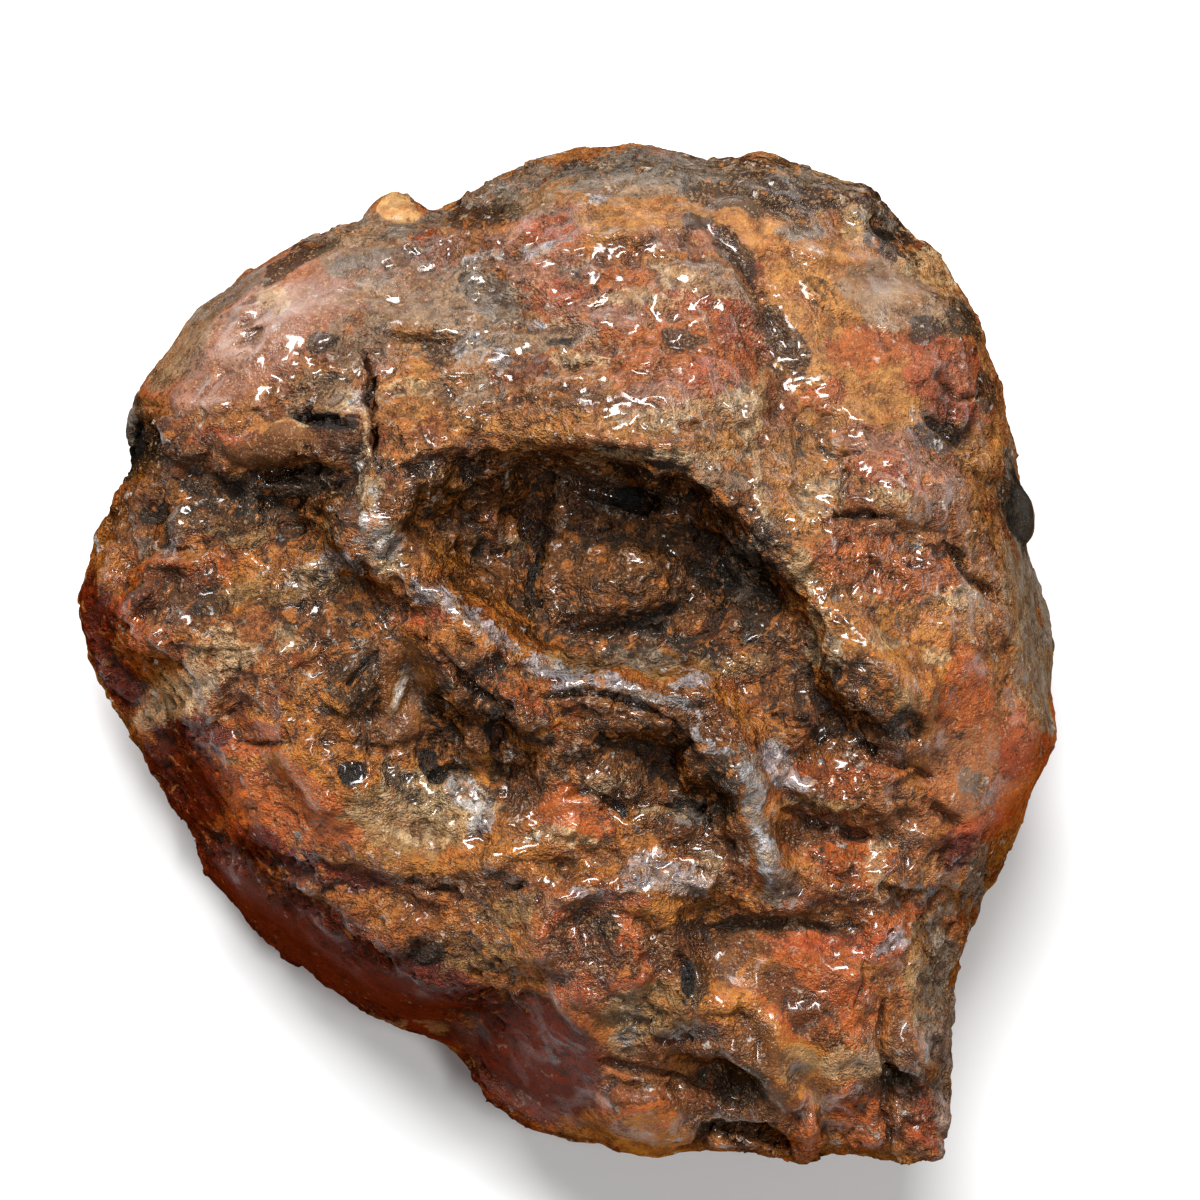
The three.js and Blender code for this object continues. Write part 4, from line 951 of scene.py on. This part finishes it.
# What has settled on the stone, and the painted shade of its pits and hollows; the black is partly painted
# shade too.
PAINTED_PIT_SHADE, PAINTED_HOLLOW_SHADE, CRACK_DIRT, FRECKLE = (34, 18, 9), (48, 26, 12), (24, 13, 8), (26, 16, 10)
MANGANESE, BRIGHT_GRAIN, BROWN_FILM = (24, 19, 16), (214, 168, 116), (36, 30, 22)
RUST, BLACK_MINERAL_AND_SHADE = (188, 112, 48), (18, 17, 14)


class Grain:
    """The noises that the stone's colour, gloss and relief share, and what paint() kept."""

    def __init__(self, tree):
        self.place = Wire(tree, tree.nodes.new("ShaderNodeTexCoord").outputs["Object"])
        self.veils = [
            self.speckle(3.4, 4.5, 0.7, shift=0.1),
            self.speckle(2.3, 4, 0.74, shift=0.2),
            self.speckle(5.2, 5, 0.72, shift=0.3),
        ]
        self.grit = self.speckle(0.4, 1.5, 0.8, shift=0.4)
        self.mottle = self.speckle(1.3, 3.5, 0.78, shift=0.5)
        self.streaks = self.speckle(1.1, 2.5, 0.75, shift=0.6, stretch=(1, 0.35, 1))
        self.curls = self.speckle(1.7, 1.5, 0.5, shift=0.7)
        self.rugged = 1 - self.kept("smooth") * 0.6

    def speckle(self, size, detail, rough, shift, twist=0.0, stretch=(1, 1, 1)):
        """Cloudy noise with spots of that size in mm; its shift keeps it out of step with the others."""
        values = {"Vector": self.place, "Location": (shift, shift / 2, -shift), "Scale": stretch}
        moved = self.place.node("ShaderNodeMapping", {}, values)
        values = {"Vector": moved, "Scale": 1 / (size * MM), "Detail": detail}
        return self.place.node("ShaderNodeTexNoise", {}, {**values, "Roughness": rough, "Distortion": twist})

    def kept(self, name):
        """What paint() kept on the vertices under that name."""
        return self.place.node("ShaderNodeAttribute", {"attribute_name": name}, {}, 2)

    def mix(self, share, one, other, blend="MIX"):
        settings = {"data_type": "RGBA", "blend_type": blend}
        return self.place.node("ShaderNodeMix", settings, {0: share, 6: one, 7: other}, 2)

    def flake_tone(self):
        """A tone from 0 to 1 for each ragged flake, about 3 mm across."""
        stir = self.speckle(2.2, 1, 0.65, shift=2.1).other("Color")
        bent = self.place.vector("MULTIPLY_ADD", stir, (2.7 * MM,) * 3, self.place)
        flakes = self.place.node("ShaderNodeTexVoronoi", {}, {"Vector": bent, "Scale": 1 / (3 * MM)})
        return self.place.vector("DOT_PRODUCT", flakes.other("Color"), (0.4, 0.4, 0.2), output=1)


def line(values, width):
    """1 where a noise crosses its middle, in lines of that width."""
    away = (values - 0.5).maths("ABSOLUTE")
    return 1 - away.between(0.0, width)


def stained_and_painted_light(grain):
    """The colour of the bare stone with its stains, painted shade, painted highlights and painted sheen, one
    laid over the other.
    """
    veils, kept, mix = grain.veils, grain.kept, grain.mix
    loose = (grain.mottle - 0.5) * grain.rugged
    skin = mix(veils[2].between(0.36, 0.62), colour(*BARE_RED), colour(*BARE_TAN))
    # cool in the north-east, where the tint is also a painted sheen, warm towards the south-west
    tint = mix(kept("warm"), COOL_TINT_AND_SHEEN, WARM_TINT)
    tint = mix(kept("maroon") * 0.9, tint, MAROON_TINT)
    for order, (name, (shade, hiding)) in enumerate(STAIN_AND_PAINTED_LIGHT_COLOURS.items()):
        if name == FIRST_PALE:
            skin = mix(1.0, skin, tint, "MULTIPLY")
        wander, fray = WHOLE[name] if name in WHOLE else (2.8, 2.6 if name in PALE else 1.2)
        cover = (kept(name) + (veils[order % 3] - 0.5) * wander + loose * fray).between(0.4, 0.64)
        if name in PALE:
            cover = cover * (1 - kept("maroon") * 0.75)
        redder = colour(shade[0] * 0.84, shade[1] * 0.72, shade[2] * 0.6)
        stain = mix(veils[(order + 1) % 3].between(0.42, 0.6), colour(*shade), redder)
        skin = mix(cover * hiding, skin, stain)
    return skin


def weathered_and_shaded(grain, skin):
    """The skin, unevenly bright, with painted shade in its pits and hollows and what has settled on it, one
    laid over the other.
    """
    veils, kept, speckle = grain.veils, grain.kept, grain.speckle
    grit, mottle = grain.grit, grain.mottle

    uneven = mottle.between(0.3, 0.66) * 1.05 + grit.between(0.3, 0.7) * 0.85
    uneven = uneven + veils[2].between(0.3, 0.7) * 0.35 - 1.15
    brightness = (uneven * grain.rugged + 1.17) * (0.52 + grain.flake_tone() * 0.4)
    skin = skin.node("ShaderNodeVectorMath", {"operation": "SCALE"}, {0: skin, 3: brightness})

    pits = kept("pits") * 0.5 + (mottle - 0.5) * 1.4
    hollows = kept("hollows") + (veils[1] - 0.5) * 1.5
    cracks = line(veils[0], 0.016) * speckle(7, 2, 0.5, shift=0.8).between(0.42, 0.6)
    freckles = grit * 0.6 + grain.streaks * 0.6 - 0.6 + kept("grainy") * 0.04 - kept("smooth") * 0.05
    manganese = speckle(0.8, 2.5, 0.7, twist=0.3, shift=1.1) + speckle(8, 1.5, 0.5, shift=1.2) * 0.6 - 0.3
    bright = 0.5 - grit + (veils[1] - 0.5) * 0.6 + kept("crust") * 0.05
    film = speckle(2.6, 4.5, 0.72, twist=0.6, shift=1.3)
    film = film + kept("grainy") * 0.07 + kept("hollows") * 0.04 - kept("smooth") * 0.04
    rust = speckle(2.4, 3.5, 0.68, twist=0.4, shift=1.4) + kept("grainy") * 0.03 - kept("smooth") * 0.08
    # black mineral, and painted shade in the pits and slots
    black = kept("black") * (mottle * 0.9 + veils[1] * 0.9 + 0.1)
    for cover, shade in (
        # painted shade: the pits and the hollows, darkened by how deep they lie
        (pits.between(0.15, 0.62) * 0.6, PAINTED_PIT_SHADE),
        (hollows.between(0.2, 1.1) * 0.3, PAINTED_HOLLOW_SHADE),
        (cracks * 0.8, CRACK_DIRT),
        (freckles.between(0.05, 0.14) * 0.5, FRECKLE),
        (manganese.between(0.61, 0.69) * 0.65, MANGANESE),
        (bright.between(0.08, 0.2) * (1 - kept("maroon")) * 0.35, BRIGHT_GRAIN),
        (film.between(0.58, 0.66) * 0.8, BROWN_FILM),
        (rust.between(0.58, 0.68) * 0.6, RUST),
        (black.between(0.35, 0.6) * 0.85, BLACK_MINERAL_AND_SHADE),
    ):
        skin = grain.mix(cover, skin, colour(*shade))
    return skin


def fine_relief(grain):
    """Grit, streaks and curling ridges, as a normal, with less of them on the smooth faces."""
    kept = grain.kept
    worms = line(grain.curls, 0.05) * (0.15 + kept("crust") * 0.5 + kept("wet") * 0.4)
    relief = grain.grit * 0.6 + grain.mottle * 1.5 + grain.streaks * 0.4 + worms * 0.4
    relief = relief * (1 - kept("smooth") * 0.7)
    return grain.place.node("ShaderNodeBump", {}, {"Strength": 1.0, "Distance": 0.9 * MM, "Height": relief})


def wet_jasper():
    material = bpy.data.materials.new("wet_iron_stained_jasper")
    material.use_nodes = True
    tree = material.node_tree
    tree.nodes.clear()
    grain = Grain(tree)
    kept = grain.kept
    skin = weathered_and_shaded(grain, stained_and_painted_light(grain))
    normal = fine_relief(grain)
    wet = grain.speckle(6, 3, 0.6, twist=0.5, shift=0.9) + kept("crust") * 0.05 + kept("wet") * 0.18
    wet = wet.between(0.46, 0.6)
    glossy = skin.node("ShaderNodeBsdfPrincipled", {}, {
        "Base Color": skin,
        "Normal": normal,
        "Roughness": 0.62 - wet * 0.4 + (grain.mottle - 0.5) * 0.3,
        "Specular IOR Level": 0.45,
        "Coat Weight": wet * kept("facing") * 0.8,
        "Coat Roughness": 0.12,
    })
    dull = skin.node("ShaderNodeBsdfPrincipled", {}, {
        "Base Color": skin,
        "Normal": normal,
        "Roughness": 0.8,
        "Specular IOR Level": 0,
    })
    dampness = kept("facing") * (0.75 + wet * 0.25)
    both = skin.node("ShaderNodeMixShader", {}, {0: dampness, 1: dull, 2: glossy})
    output = tree.nodes.new("ShaderNodeOutputMaterial")
    tree.links.new(both.socket, output.inputs[0])
    return material


# ---- Stage ----


def add_camera():
    camera = bpy.data.objects.new("camera", bpy.data.cameras.new("camera"))
    bpy.context.scene.collection.objects.link(camera)
    camera.location = [c * MM for c in EYE]
    camera.data.sensor_width = SENSOR_WIDTH
    camera.data.lens = SENSOR_WIDTH * (EYE[2] - SHEET_HEIGHT) / SHEET_WIDTH
    camera.data.clip_start = 0.01
    camera.data.clip_end = 100
    bpy.context.scene.camera = camera


def add_floor():
    bpy.ops.mesh.primitive_plane_add(size=6, location=(0, 0, 0))
    floor = bpy.context.object
    floor.name = "floor"
    material = bpy.data.materials.new("pale_floor")
    material.use_nodes = True
    shader = material.node_tree.nodes["Principled BSDF"]
    shader.inputs["Base Color"].default_value = (0.9, 0.9, 0.9, 1)
    shader.inputs["Roughness"].default_value = 0.9
    floor.data.materials.append(material)


def add_light(name, place, width, height, watts):
    data = bpy.data.lights.new(name, "AREA")
    data.shape = "RECTANGLE"
    data.size, data.size_y, data.energy = width, height, watts
    light = bpy.data.objects.new(name, data)
    bpy.context.scene.collection.objects.link(light)
    light.location = place
    light.rotation_euler = (Vector(place) - Vector(LIT_PLACE)).to_track_quat("Z", "Y").to_euler()


def light_scene():
    add_light("key", KEY_PLACE, width=0.5, height=0.2, watts=13.0)
    add_light("overhead", OVERHEAD_PLACE, width=0.2, height=0.08, watts=3.0)
    world = bpy.data.worlds.new("studio")
    bpy.context.scene.world = world
    world.use_nodes = True
    background = world.node_tree.nodes["Background"]
    background.inputs["Color"].default_value = (1, 1, 1, 1)
    background.inputs["Strength"].default_value = 0.2


stone = build_stone()
stone.data.materials.append(wet_jasper())
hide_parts(NODE)
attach(stone, "root")

add_floor()
add_camera()
light_scene()
bpy.context.scene.view_settings.view_transform = "Standard"
